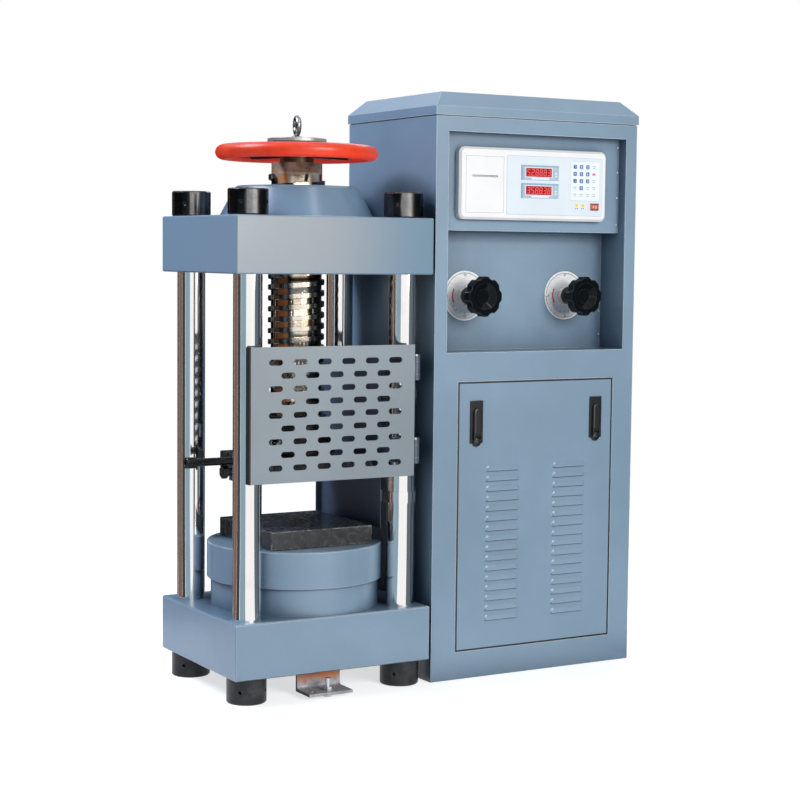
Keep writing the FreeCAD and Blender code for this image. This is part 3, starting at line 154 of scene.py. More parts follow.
class Tree:
    """The nodes of one material or of the world."""

    def __init__(self, owner):
        owner.use_nodes = True
        self.owner = owner
        self.nodes = owner.node_tree.nodes
        self.links = owner.node_tree.links
        self.nodes.clear()

    def make(self, kind, settings=None, values=None, out=0):
        """A node of that kind, with its settings made first, and one of its outputs."""
        made = self.nodes.new("ShaderNode" + kind)
        for name, value in (settings or {}).items():
            setattr(made, name, value)
        for key, value in (values or {}).items():
            if isinstance(value, Wire):
                self.links.new(value.socket, made.inputs[key])
            elif made.inputs[key].type == "RGBA":
                made.inputs[key].default_value = (*value, 1)
            else:
                made.inputs[key].default_value = value
        return Wire(self, made.outputs[out])

    def maths(self, operation, *values):
        return self.make("Math", {"operation": operation}, dict(enumerate(values)))

    def vector(self, operation, *values, out=0):
        return self.make("VectorMath", {"operation": operation}, dict(enumerate(values)), out)

    def blend(self, share, first, second):
        """The colour at a share of the way from the first to the second."""
        return self.make("Mix", {"data_type": "RGBA"}, {0: share, 6: first, 7: second}, 2)

    def smooth(self, value, low, high):
        """0 below low and 1 above high, with an even step between them."""
        settings = {"interpolation_type": "SMOOTHSTEP"}
        return self.make("MapRange", settings, {0: value, 1: low, 2: high})

    def place(self, scale=(1, 1, 1)):
        """The point on the piece, in metres, stretched by a scale."""
        point = self.make("TexCoord", out=3)
        return self.vector("MULTIPLY", point, scale)

    def parts(self, vector):
        made = self.nodes.new("ShaderNodeSeparateXYZ")
        self.links.new(vector.socket, made.inputs[0])
        return [Wire(self, socket) for socket in made.outputs]

    def point(self):
        """The x, y and z of the point on the piece, in metres."""
        return self.parts(self.place())

    def noise(self, scale, detail=3.0, rough=0.55, stretch=(1, 1, 1), twist=0.0):
        values = {"Vector": self.place(stretch), "Scale": scale, "Detail": detail,
                  "Roughness": rough, "Distortion": twist}
        return self.make("TexNoise", None, values)

    def within(self, x, z, area):
        """1 inside an upright area, given as left, right, low and high in millimetres."""
        left, right, low, high = area
        start, end = mm(left, 0, low), mm(right, 0, high)
        return (x > start.x) * (x < end.x) * (z > start.z) * (z < end.z)

    def facing(self, direction):
        """How far the surface faces along x, y or z, which are 0, 1 and 2."""
        return self.parts(self.make("NewGeometry", out=1))[direction]

    def rounded(self, radius):
        """The surface's normal as if its sharp edges were rounded."""
        return self.make("Bevel", {"samples": SURFACE_SAMPLES}, {"Radius": radius})

    def edges(self, radius, softness=0.16):
        """1 on the sharp edges and 0 away from them."""
        flat = self.make("NewGeometry", out=1)
        bend = 1 - self.vector("DOT_PRODUCT", self.rounded(radius), flat, out=1)
        return self.smooth(bend, 0.01, softness)

    def corners(self, reach):
        """1 deep in a corner, under a ledge or behind a near part, and 0 out in the open."""
        settings = {"samples": SURFACE_SAMPLES}
        open_share = self.make("AmbientOcclusion", settings, {"Distance": reach}, 1)
        return 1 - self.smooth(open_share, 0.20, 0.85)

    def bump(self, height, strength, depth, normal=None):
        values = {"Strength": strength, "Distance": depth, "Height": height}
        if normal is not None:
            values["Normal"] = normal
        return self.make("Bump", None, values)

    def finish(self, **sockets):
        """Ends a material in one Principled shader."""
        values = {name.replace("_", " "): value for name, value in sockets.items()}
        shader = self.make("BsdfPrincipled", None, values)
        end_with(self, "Material", shader)
        return self.owner


def material(name):
    return Tree(bpy.data.materials.new(name))


# Studio
FLOOR_RADIUS = 9.0
FLOOR_FADE = (1.5, 3.2)
FLOOR_COLOUR = (0.62, 0.62, 0.62)
FLOOR_LIFT = (0.66, 0.66, 0.66)
SOFT_LIGHT = (0.100, 0.145, 0.200)
BACKDROP = (1.0, 1.0, 1.0)
BLACK = (0.0, 0.0, 0.0)

# Lamps: name, place, aim, width and height in metres, power in watts and colour.
LAMPS = (
    ("front_panel", (0.60, -4.0, 1.75), (0.20, 0, 0.65), (2.0, 1.8), 148, (1.0, 0.975, 0.940)),
    ("left_panel", (-2.6, 0.9, 3.4), (-0.2, 0, 0.75), (1.6, 1.6), 142, (0.80, 0.86, 1.0)),
    ("rear_panel", (2.8, 2.6, 2.4), (0, 0, 0.7), (2.0, 2.0), 62, (1.0, 1.0, 1.0)),
)

# Cards that only glossy surfaces mirror, by their bearing from the camera's side of the load
# frame: from, to, distance, lowest and highest point, and colour. A card that starts at
# CARD_FOOT also lies on the floor up to CARD_NEAR from the frame's axis, at CARD_CENTRE. Its
# curve is made of flat strips about CARD_STEP degrees wide.
CARD_FOOT = 0.003
CARD_NEAR = 0.80
CARD_CENTRE = (226, 186.5, 0)
CARD_STEP = 6
EYE_LEVEL = 0.94
CARDS = (
    (-180, -120, 2.6, CARD_FOOT, 2.4, (0.010, 0.010, 0.014)),
    (-118, -76, 2.6, CARD_FOOT, EYE_LEVEL, (0.220, 0.130, 0.095)),
    (-75, -49, 2.6, CARD_FOOT, EYE_LEVEL, (0.055, 0.060, 0.070)),
    (-47, -9, 2.6, CARD_FOOT, EYE_LEVEL, (0.270, 0.390, 0.460)),
    (-8, 56, 3.0, CARD_FOOT, EYE_LEVEL, (1.000, 0.990, 0.980)),
    (57, 90, 2.8, CARD_FOOT, EYE_LEVEL, (0.130, 0.155, 0.180)),
    (90, 178, 2.8, CARD_FOOT, EYE_LEVEL, (0.058, 0.070, 0.080)),
    (-118, -9, 2.6, EYE_LEVEL, 2.6, (0.012, 0.012, 0.016)),
    (-4, 50, 3.4, 1.000, 1.175, (6.500, 6.200, 5.600)),
    (-9, 50, 3.4, 1.175, 1.700, (1.200, 1.150, 1.050)),
    (50, 178, 2.8, EYE_LEVEL, 2.4, (0.040, 0.045, 0.055)),
    (49, 58, 2.7, 0.800, 1.060, (4.600, 3.300, 2.100)),
    (34, 48, 1.6, 2.900, 4.600, (9.000, 9.200, 9.600)),
)


def background_rays(tree):
    """1 for the rays that see the backdrop: from the camera, in metal and through glass."""
    camera, glossy, through = (tree.make("LightPath", out=index) for index in (0, 3, 6))
    return tree.maths("MAXIMUM", tree.maths("MAXIMUM", camera, glossy), through)


def end_with(tree, kind, shader):
    output = tree.nodes.new("ShaderNodeOutput" + kind)
    tree.links.new(shader.socket, output.inputs["Surface"])


def make_world():
    world = bpy.data.worlds.new("studio")
    bpy.context.scene.world = world
    tree = Tree(world)
    shown = tree.blend(background_rays(tree), SOFT_LIGHT, BACKDROP)
    end_with(tree, "World", tree.make("Background", None, {"Color": shown}))


def make_lamp(name, place, aim, size, power, colour):
    data = bpy.data.lights.new(name, "AREA")
    data.shape = "RECTANGLE"
    data.size, data.size_y = size
    data.energy = power
    data.color = colour
    lamp = add_object(name, data)
    direction = Vector(aim) - Vector(place)
    turned_to = direction.to_track_quat("-Z", "Y").to_matrix().to_4x4()
    lamp.matrix_world = Matrix.Translation(place) @ turned_to
    lamp.visible_camera = False


def make_floor():
    """A pale floor that keeps the shadows and fades into the backdrop further out."""
    shape = bmesh.new()
    bmesh.ops.create_circle(shape, cap_ends=True, radius=FLOOR_RADIUS, segments=64)
    tree = material("floor")
    x, y = tree.point()[:2]
    far = tree.smooth(tree.maths("SQRT", x ** 2 + y ** 2), *FLOOR_FADE)
    diffuse = tree.make("BsdfDiffuse", None, {"Color": FLOOR_COLOUR})
    glow = tree.blend(background_rays(tree), BLACK, FLOOR_LIFT)
    lift = tree.make("Emission", None, {"Color": glow})
    near = tree.make("AddShader", None, {0: diffuse, 1: lift})
    clear = tree.make("BsdfTransparent")
    end_with(tree, "Material", tree.make("MixShader", None, {0: far, 1: near, 2: clear}))
    floor = add_shape("floor", shape, tree.owner)


def make_card(number, start, end, reach, low, high, colour):
    name = "card_%d" % number
    centre = mm(*CARD_CENTRE)
    steps = max(2, int((end - start) / CARD_STEP))
    rows = [(reach, high), (reach, low)]
    if low == CARD_FOOT:
        rows.append((CARD_NEAR, low))
    shape = bmesh.new()
    before = None
    for step in range(steps + 1):
        way = sideways(start + (end - start) * step / steps)
        column = [shape.verts.new((centre.x + way.x * r, centre.y + way.y * r, z)) for r, z in rows]
        if before:
            for index in range(len(rows) - 1):
                strip = slice(index, index + 2)
                shape.faces.new((*before[strip], *reversed(column[strip])))
        before = column
    tree = material(name)
    end_with(tree, "Material", tree.make("Emission", None, {"Color": colour}))
    card = add_shape(name, shape, tree.owner)
    for kind in ("camera", "diffuse", "transmission", "shadow", "volume_scatter"):
        setattr(card, "visible_" + kind, False)


bpy.context.scene.view_settings.view_transform = "Standard"
make_world()
for lamp_values in LAMPS:
    make_lamp(*lamp_values)
make_floor()
for card_number, card in enumerate(CARDS):
    make_card(card_number, *card)


# Finishes
BLUE_GREY = (0.205, 0.300, 0.395)
# Painted shade: how dark and how blue the paint turns in corners, and how far from a near surface
# that reaches.
CORNER_SHADE = (0.05, 0.13, 0.21)
CORNER_SHADE_REACH = 0.11
PAINTED_SHEEN_SHARE = 0.85

# Where a painted sheen on the front of the top beam turns from warm grey to blue, from and to, and
# its colour at either end.
BEAM_PAINTED_SHEEN = (mm(190, 0, 0).x, mm(440, 0, 0).x, (0.222, 0.266, 0.307), (0.107, 0.209, 0.300))


def scaled(colour, share):
    return tuple(part * share for part in colour)


def paint(name, colour, rough=0.36, worn=1.0, painted_sheen=None):
    """Sprayed enamel: orange peel, faint clouding, pale edges of wear and painted highlight,
    painted shade in corners, and an optional painted sheen.
    """
    tree = material(name)
    clouds = tree.smooth(tree.noise(2.6, 4.0), 0.3, 0.7)
    tone = tree.blend(clouds, scaled(colour, 0.88), scaled(colour, 1.08))
    grain = tree.smooth(tree.noise(700.0, 2.0, 0.7), 0.35, 0.65)
    tone = tree.blend(grain * 0.12, tone, scaled(colour, 1.6))
    # Pale edges: partly edge wear and partly a painted highlight along the sharp edges; the worn
    # value sets how strong both are.
    edge = tree.edges(0.0026, 0.12) * (tree.smooth(tree.noise(30.0, 3.0), 0.1, 0.5) * worn)
    tone = tree.blend(edge, tone, tuple(part * 0.5 + 0.52 for part in colour))
    # A painted sheen: front faces take a warm grey on the left that turns blue to the right, as a
    # reflection would.
    if painted_sheen:
        left, right, near, far = painted_sheen
        front = tree.smooth(0 - tree.facing(1), 0.6, 0.9)
        sheen_here = tree.blend(tree.smooth(tree.point()[0], left, right), near, far)
        tone = tree.blend(PAINTED_SHEEN_SHARE, tone, tree.blend(front, colour, sheen_here))
    # Painted shade: the colour darkens towards blue in corners, under ledges and behind near parts.
    corner_shade = tuple(part * share for part, share in zip(colour, CORNER_SHADE))
    tone = tree.blend(tree.corners(CORNER_SHADE_REACH) * 0.90, tone, corner_shade)
    peel = tree.noise(330.0, 2.0, 0.5)
    normal = tree.bump(peel, 0.12, 0.0012, tree.rounded(0.0012))
    roughness = tree.noise(40.0, 3.0) * 0.10 + (rough - 0.05)
    return tree.finish(Base_Color=tone, Roughness=roughness, Normal=normal, Coat_Weight=0.25,
                       Coat_Roughness=0.16)


def polished(name):
    """Ground and polished bar, with fine rings and a few smudges."""
    tree = material(name)
    rings = tree.noise(60.0, 3.0, 0.6, (0.3, 0.3, 45.0))
    smudge = tree.smooth(tree.noise(9.0, 4.0), 0.52, 0.75)
    tone = tree.blend(smudge * 0.30, (0.90, 0.90, 0.90), (0.62, 0.60, 0.57))
    roughness = smudge * 0.08 + rings * 0.05 + 0.03
    return tree.finish(Base_Color=tone, Metallic=1.0, Roughness=roughness,
                       Normal=tree.bump(rings, 0.02, 0.0002))


def blackened(name):
    """Oiled black steel with pits that catch the light."""
    tree = material(name)
    pits = tree.noise(240.0, 4.0, 0.65)
    patch = tree.noise(22.0, 4.0)
    tone = tree.blend(tree.smooth(patch, 0.35, 0.75), (0.008, 0.008, 0.010), (0.024, 0.024, 0.026))
    tone = tree.blend(tree.edges(0.0010) * 0.6, tone, (0.22, 0.24, 0.28))
    roughness = tree.smooth(pits, 0.45, 0.75) * 0.20 + 0.22
    return tree.finish(Base_Color=tone, Metallic=0.35, Roughness=roughness,
                       Normal=tree.bump(pits, 0.18, 0.0007, tree.rounded(0.0008)))


def nut_steel(name):
    """Turned nuts: bright black oxide above, dull and scuffed where they stand on the floor."""
    tree = material(name)
    upper = tree.smooth(tree.point()[2], 0.4, 0.6)
    patch = tree.smooth(tree.noise(30.0, 4.0), 0.4, 0.7)
    oxide = tree.blend(patch, (0.070, 0.073, 0.080), (0.105, 0.106, 0.108))
    dull = tree.blend(patch, (0.010, 0.011, 0.013), (0.034, 0.034, 0.036))
    scuff = tree.smooth(tree.noise(150.0, 4.0, 0.7, (1.0, 1.0, 3.0)), 0.62, 0.74) * (1 - upper)
    tone = tree.blend(scuff * 0.6, tree.blend(upper, dull, oxide), (0.22, 0.22, 0.22))
    tone = tree.blend(tree.edges(0.0010) * 0.5, tone, (0.24, 0.26, 0.30))
    lines = tree.noise(26.0, 3.0, 0.6, (1.0, 1.0, 20.0))
    roughness = 0.34 - upper * 0.20 + lines * 0.10
    return tree.finish(Base_Color=tone, Metallic=upper * 0.6 + 0.4, Roughness=roughness,
                       Normal=tree.bump(lines + patch, 0.08, 0.0006, tree.rounded(0.0008)))


def platen_black(name):
    """A black platen, scratched on its faces and chipped to bare metal along its edges, its top
    painted lighter and bluer as a sheen.
    """
    tree = material(name)
    swirl = tree.noise(38.0, 6.0, 0.62, (1.0, 2.4, 1.0), 2.2)
    scale = tree.noise(75.0, 5.0, 0.7)
    upward = tree.smooth(tree.facing(2), 0.5, 0.9)
    side = tree.blend(tree.smooth(scale, 0.25, 0.8), (0.026, 0.028, 0.031), (0.058, 0.060, 0.064))
    # The top is lighter than the sides: swirl marks with a painted sheen.
    top = tree.blend(tree.smooth(swirl, 0.44, 0.62), (0.032, 0.038, 0.052), (0.098, 0.108, 0.130))
    tone = tree.blend(upward, side, top)
    scratch = tree.smooth(tree.noise(20.0, 6.0, 0.8, (1.0, 14.0, 1.0), 0.6), 0.62, 0.68) * upward
    tone = tree.blend(scratch * 0.5, tone, (0.20, 0.22, 0.26))
    chips = tree.edges(0.0030, 0.10) * tree.smooth(tree.noise(120.0, 5.0, 0.7), 0.44, 0.56)
    tone = tree.blend(chips, tone, (0.52, 0.51, 0.49))
    flecks = tree.smooth(tree.noise(190.0, 4.0, 0.75), 0.69, 0.75) * (1 - upward)
    tone = tree.blend(flecks * 0.7, tone, (0.42, 0.41, 0.39))
    roughness = tree.smooth(swirl, 0.4, 0.7) * 0.20 + 0.18
    return tree.finish(Base_Color=tone, Metallic=0.3, Roughness=roughness,
                       Normal=tree.bump(swirl + scale, 0.18, 0.0007, tree.rounded(0.0012)))


def machined(name, colour, rough=0.28, worn=0.4, metal=1.0):
    """Bright turned or plated metal."""
    tree = material(name)
    lines = tree.noise(50.0, 3.0, 0.6, (1.0, 1.0, 24.0))
    stain = tree.smooth(tree.noise(26.0, 4.0), 0.45, 0.75) * worn
    tone = tree.blend(stain, colour, scaled(colour, 0.5))
    return tree.finish(Base_Color=tone, Metallic=metal, Roughness=lines * 0.14 + (rough - 0.05),
                       Normal=tree.bump(lines, 0.06, 0.0004, tree.rounded(0.0006)))


# Where the screw's look changes: the side of its painted highlight, the side of its painted brown
# reflection, and the height of its neck in metres.
HIGHLIGHT_SIDE = sideways(12)
BROWN_REFLECTION_SIDE = sideways(-30)
NECK_FOOT = (1.070, 1.078)


def screw_steel(name, centre, root):
    """Lead screw steel: a painted highlight band at the front with painted shade elsewhere, browner
    grooves with a painted brown reflection on one side, and oily streaks.
    """
    tree = material(name)
    x, y, z = tree.point()
    across, back = x - centre.x, y - centre.y
    radius = tree.maths("SQRT", across ** 2 + back ** 2)
    crest = tree.smooth(radius, root + 0.0015, root + 0.0045)
    patina = tree.smooth(tree.noise(26.0, 5.0, 0.65, (1.0, 1.0, 2.2)), 0.40, 0.66)
    streak = tree.smooth(tree.noise(90.0, 4.0, 0.7, (1.0, 1.0, 5.0)), 0.42, 0.70)
    groove = tree.blend(patina, (0.80, 0.74, 0.64), (0.50, 0.33, 0.20))
    bright = tree.blend(patina, (0.84, 0.80, 0.73), (0.66, 0.58, 0.48))
    tone = tree.blend(crest, groove, bright)
    tone = tree.blend(streak * 0.22, tone, (0.16, 0.11, 0.08))
    neck = tree.smooth(z, *NECK_FOOT)
    brown = tree.blend(patina, (0.20, 0.10, 0.058), (0.085, 0.040, 0.024))
    tone = tree.blend(neck * 0.95, tone, brown)
    # Painted shade: the flanks of the thread are darkened between the bright ridges.
    flank = crest * (1 - tree.smooth(radius, root + 0.0045, root + 0.0060))
    tone = tree.blend(flank * 0.75, tone, (0.05, 0.04, 0.035))

    def turned_to(side):
        return (across * side[0] + back * side[1]) / radius

    # Painted highlight: the thread stays bright only where it faces the camera's side, and is
    # painted dark elsewhere as shade.
    highlight_band = tree.smooth(turned_to(HIGHLIGHT_SIDE), 0.90, 0.96)
    tone = tree.blend((1 - highlight_band) * 0.80 * (1 - neck), tone, (0.030, 0.028, 0.026))
    # A painted reflection: brown in the grooves on one side only, where the thread would mirror a
    # brown surround.
    stain = tree.smooth(turned_to(BROWN_REFLECTION_SIDE), 0.955, 0.985) * (1 - crest) * (1 - neck)
    tone = tree.blend(stain * 0.9, tone, (0.34, 0.115, 0.030))
    roughness = patina * 0.08 + streak * 0.05 + 0.07 + neck * 0.30
    return tree.finish(Base_Color=tone, Metallic=1 - stain * 0.85 - neck * 0.60,
                       Roughness=roughness, Normal=tree.bump(streak + patina, 0.05, 0.0005))


def rusty(name, low, high):
    """Mill scale below, orange rust above, and a black sawn end."""
    tree = material(name)
    z = tree.point()[2]
    rise = tree.smooth(z + tree.noise(55.0, 4.0) * 0.022, low + 0.024, low + 0.044)
    mottle = tree.noise(120.0, 5.0, 0.7)
    bare = tree.blend(tree.smooth(mottle, 0.35, 0.65), (0.22, 0.22, 0.25), (0.42, 0.40, 0.43))
    rust = tree.blend(tree.smooth(mottle, 0.38, 0.64), (0.62, 0.17, 0.035), (0.42, 0.24, 0.15))
    tone = tree.blend(rise, bare, rust)
    soot = tree.smooth(z, high - 0.010, high - 0.002)
    tone = tree.blend(soot, tone, (0.05, 0.035, 0.03))
    sawn = tree.smooth(0 - tree.facing(0), 0.6, 0.9)
    tone = tree.blend(sawn, tone, (0.012, 0.010, 0.012))
    tone = tree.blend(tree.edges(0.0015) * 0.5, tone, (0.50, 0.50, 0.55))
    return tree.finish(Base_Color=tone, Metallic=0.25, Roughness=mottle * 0.3 + 0.42,
                       Normal=tree.bump(mottle, 0.35, 0.0009, tree.rounded(0.001)))


def moulded(name, colour, rough=0.38, grain=0.05, glow=BLACK):
    """Moulded or printed plastic with a fine spark-eroded grain."""
    tree = material(name)
    speck = tree.noise(1500.0, 2.0, 0.6)
    cloud = tree.smooth(tree.noise(14.0, 3.0), 0.3, 0.7)
    tone = tree.blend(cloud, scaled(colour, 0.96), colour)
    return tree.finish(Base_Color=tone, Roughness=speck * 0.08 + (rough - 0.04),
                       Normal=tree.bump(speck, grain, 0.0004, tree.rounded(0.0007)),
                       Emission_Color=glow, Emission_Strength=1.0)


def lock_plastic(name):
    """Black die-cast lock, with a thin bright line along its edges that is a painted highlight."""
    tree = material(name)
    speck = tree.noise(900.0, 2.0, 0.6)
    tone = tree.blend(speck, (0.004, 0.004, 0.005), (0.014, 0.013, 0.014))
    # Painted highlight along the edges.
    tone = tree.blend(tree.edges(0.0008, 0.3) * 0.7, tone, (0.16, 0.20, 0.23))
    return tree.finish(Base_Color=tone, Roughness=speck * 0.12 + 0.28,
                       Normal=tree.bump(speck, 0.08, 0.0004, tree.rounded(0.0008)))


def gloss_red(name):
    """Thick gloss enamel on the handwheel rim, with dust and a painted sheen on top, and a painted
    glow underneath that stands in for light from the beam below.
    """
    tree = material(name)
    cloud = tree.noise(18.0, 4.0)
    tone = tree.blend(tree.smooth(cloud, 0.3, 0.7), (0.76, 0.042, 0.010), (0.84, 0.062, 0.015))
    upward = tree.smooth(tree.facing(2), 0.2, 1.0)
    # Dust on top faces, in a pale pink that also serves as a painted sheen.
    dust_and_sheen = upward * tree.smooth(tree.noise(60.0, 4.0), 0.35, 0.75) * 0.08
    tone = tree.blend(dust_and_sheen, tone, (0.85, 0.50, 0.45))
    # Painted light: the underside glows red as if lit from below.
    below = tree.smooth(0 - tree.facing(2), 0.0, 0.8)
    painted_underglow = tree.blend(below, BLACK, (0.30, 0.014, 0.008))
    return tree.finish(Base_Color=tone, Roughness=cloud * 0.12 + 0.30,
                       Normal=tree.bump(tree.noise(120.0, 2.0), 0.05, 0.001), Coat_Weight=0.12,
                       Coat_Roughness=0.20, Specular_IOR_Level=0.35, Emission_Color=painted_underglow,
                       Emission_Strength=1.0)


def knob_plastic(name):
    """Black pressed resin with a deep gloss, and a painted highlight along its rounded edges."""
    tree = material(name)
    speck = tree.noise(60.0, 3.0)
    tone = tree.blend(speck, (0.003, 0.004, 0.005), (0.006, 0.007, 0.008))
    # Painted highlight: the rounded edges are made paler blue grey.
    tone = tree.blend(tree.edges(0.0016, 0.25) * 0.8, tone, (0.150, 0.200, 0.250))
    return tree.finish(Base_Color=tone, Roughness=speck * 0.06 + 0.10, Specular_IOR_Level=0.12,
                       Normal=tree.bump(speck, 0.02, 0.0004, tree.rounded(0.0010)))


def dial_metal(name, centres, radius):
    """Brushed aluminium with a thin dark ring printed near the edge of each dial."""
    tree = material(name)
    x, z = tree.point()[::2]
    brush = tree.noise(120.0, 4.0, 0.7, (0.35, 1.0, 6.0))
    tone = tree.blend(tree.smooth(brush, 0.3, 0.7), (0.66, 0.67, 0.68), (0.94, 0.94, 0.94))
    for centre in centres:
        reach = tree.maths("SQRT", (x - centre.x) ** 2 + (z - centre.z) ** 2)
        ring = (reach > radius * 0.895) * (reach < radius * 0.925)
        tone = tree.blend(ring * 0.75, tone, (0.10, 0.12, 0.15))
    return tree.finish(Base_Color=tone, Metallic=0.12, Roughness=brush * 0.15 + 0.30,
                       Normal=tree.bump(brush, 0.05, 0.0003))


def led_window(name, windows):
    """A two-tone bezel with a white line round a red display glass, which is given a faint painted
    glow.
    """
    tree = material(name)
    x, z = tree.point()[::2]
    speck = tree.noise(700.0, 2.0)
    tone = tree.blend(speck, (0.36, 0.47, 0.58), (0.46, 0.56, 0.66))
    glass = 0.0
    for left, low in windows:
        top = low + WINDOW_HEIGHT
        area = (left + GLASS_LEFT, left + GLASS_LEFT + GLASS_WIDTH, low + GLASS_LOW,
                low + GLASS_LOW + GLASS_HEIGHT)
        line = (area[0] - 2, area[1] + 2, area[2] - 1.6, area[3] + 1.6)
        for field, colour in (
            ((left, left + 5, low, top), (0.30, 0.40, 0.54)),
            ((left, left + WINDOW_WIDTH, top - 3.2, top), (0.24, 0.42, 0.56)),
            ((left + 26, left + 72, low + 1.6, low + 5.2), (0.80, 0.84, 0.88)),
            (line, (0.78, 0.80, 0.84)),
        ):
            tone = tree.blend(tree.within(x, z, field), tone, colour)
        glass = tree.within(x, z, area) + glass
    tone = tree.blend(glass, tone, (0.24, 0.004, 0.006))
    # Painted light: the red glass glows faintly of its own.
    glow = tree.blend(glass, BLACK, (0.27, 0.003, 0.006))
    return tree.finish(Base_Color=tone, Roughness=0.34 - glass * 0.14, Emission_Color=glow,
                       Emission_Strength=1.0)


def rocker_plastic(name, low, high):
    """A red rocker between two black ends."""
    tree = material(name)
    z = tree.point()[2]
    middle = (z > low + 0.0022) * (z < high - 0.0022)
    speck = tree.noise(1200.0, 2.0)
    tone = tree.blend(middle, (0.010, 0.010, 0.012), (0.66, 0.050, 0.030))
    return tree.finish(Base_Color=tone, Roughness=speck * 0.08 + 0.24, Coat_Weight=0.3,
                       Coat_Roughness=0.06,
                       Normal=tree.bump(speck, 0.03, 0.0004, tree.rounded(0.0007)))


axis_low, axis_high = span("lead_screw")
axis = (axis_low + axis_high) / 2
screw_centre = mm(axis.x, axis.y, 0)
SCREW_ROOT = 53.4
SCREW_CREST = 59.5
SCREW_PITCH = 23.0
RIDGE_WIDTH = 10.5
THREAD_LENGTH = 506.0

dials_low, dials_high = span("dial_plates")
DIAL_RADIUS = 54.0
dial_z = (dials_low.z + dials_high.z) / 2
dial_xs = (dials_low.x + DIAL_RADIUS, dials_high.x - DIAL_RADIUS)
dial_centres = [mm(x, dials_low.y, dial_z) for x in dial_xs]

windows_low, windows_high = span("display_windows")
GLASS_LEFT, GLASS_WIDTH = 11.5, 67.0
GLASS_LOW, GLASS_HEIGHT = 7.5, 18.5
WINDOW_HEIGHT = 32.0
WINDOW_WIDTH = windows_high.x - windows_low.x
windows = [(windows_low.x, low) for low in (windows_low.z, windows_high.z - WINDOW_HEIGHT)]
bracket_low, bracket_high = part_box("floor_bracket")
rocker_low, rocker_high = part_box("rocker_switch")

# Each finish, its maker and what the maker takes after the name.
LOOKS = {
    "machine_paint": (paint, BLUE_GREY),
    "beam_paint": (paint, BLUE_GREY, 0.36, 1.0, BEAM_PAINTED_SHEEN),
    # Painted shade: the side plate is a much darker blue, as it sits in shade behind the platen.
    "side_plate_paint": (paint, (0.070, 0.105, 0.170), 0.34, 0.3),
    "door_paint": (paint, BLUE_GREY, 0.36, 0.12),
    # Painted shade: the nut housing's paint is darker than the machine's blue grey.
    "housing_paint": (paint, (0.135, 0.225, 0.320), 0.34),
    "guard_paint": (paint, (0.215, 0.255, 0.285), 0.42, 0.05),
    # Painted shade: the hinge leaves and guard clamps are dark so that they sink into the shade of
    # the gap beside the guard.
    "hinge_paint": (paint, (0.060, 0.085, 0.120), 0.42, 0.3),
    "motor_paint": (paint, (0.035, 0.060, 0.085), 0.45),
    "polished_bar": (polished,),
    "black_steel": (blackened,),
    "nut_steel": (nut_steel,),
    "platen_black": (platen_black,),
    "screw_steel": (screw_steel, screw_centre, SCREW_ROOT / 1000),
    "bright_steel": (machined, (0.62, 0.62, 0.62)),
    "hub_steel": (machined, (0.085, 0.045, 0.027), 0.32, 0.6, 0.55),
    "wheel_steel": (machined, (0.42, 0.41, 0.40), 0.34, 0.4, 0.5),
    "eye_steel": (machined, (0.34, 0.35, 0.36), 0.26, 0.6),
    "zinc": (machined, (0.52, 0.54, 0.56), 0.30, 0.3),
    "bronze": (machined, (0.62, 0.40, 0.16), 0.34),
    "rim_red": (gloss_red,),
    "slot_shade": (moulded, (0.020, 0.045, 0.075), 0.6, 0.08),
    "rubber": (moulded, (0.006, 0.006, 0.007), 0.55, 0.10),
    "rusty_steel": (rusty, bracket_low.z, bracket_high.z),
    "white_plastic": (moulded, (0.85, 0.85, 0.85)),
    "overlay_blue": (moulded, (0.72, 0.785, 0.84), 0.42),
    "overlay_line": (moulded, (0.56, 0.62, 0.69), 0.45),
    "key_white": (moulded, (0.83, 0.87, 0.91), 0.45),
    "led_window": (led_window, windows),
    "led_digit": (moulded, (0.50, 0.09, 0.09), 0.4, 0.02, (0.36, 0.07, 0.08)),
    "print_blue": (moulded, (0.000, 0.165, 0.460), 0.45),
    "print_line": (moulded, (0.240, 0.400, 0.560), 0.45),
    "print_white": (moulded, (0.86, 0.88, 0.90), 0.45),
    "print_yellow": (moulded, (0.86, 0.70, 0.020), 0.45),
    "print_pink": (moulded, (0.78, 0.045, 0.260), 0.45),
    "print_red": (moulded, (0.72, 0.020, 0.022), 0.45),
    "rocker_red": (rocker_plastic, rocker_low.z, rocker_high.z),
    "dial_metal": (dial_metal, dial_centres, DIAL_RADIUS / 1000),
    "bakelite": (knob_plastic,),
    "lock_black": (lock_plastic,),
    "paper": (moulded, (0.84, 0.83, 0.79), 0.8, 0.08),
}
finishes = {name: maker(name, *values) for name, (maker, *values) in LOOKS.items()}

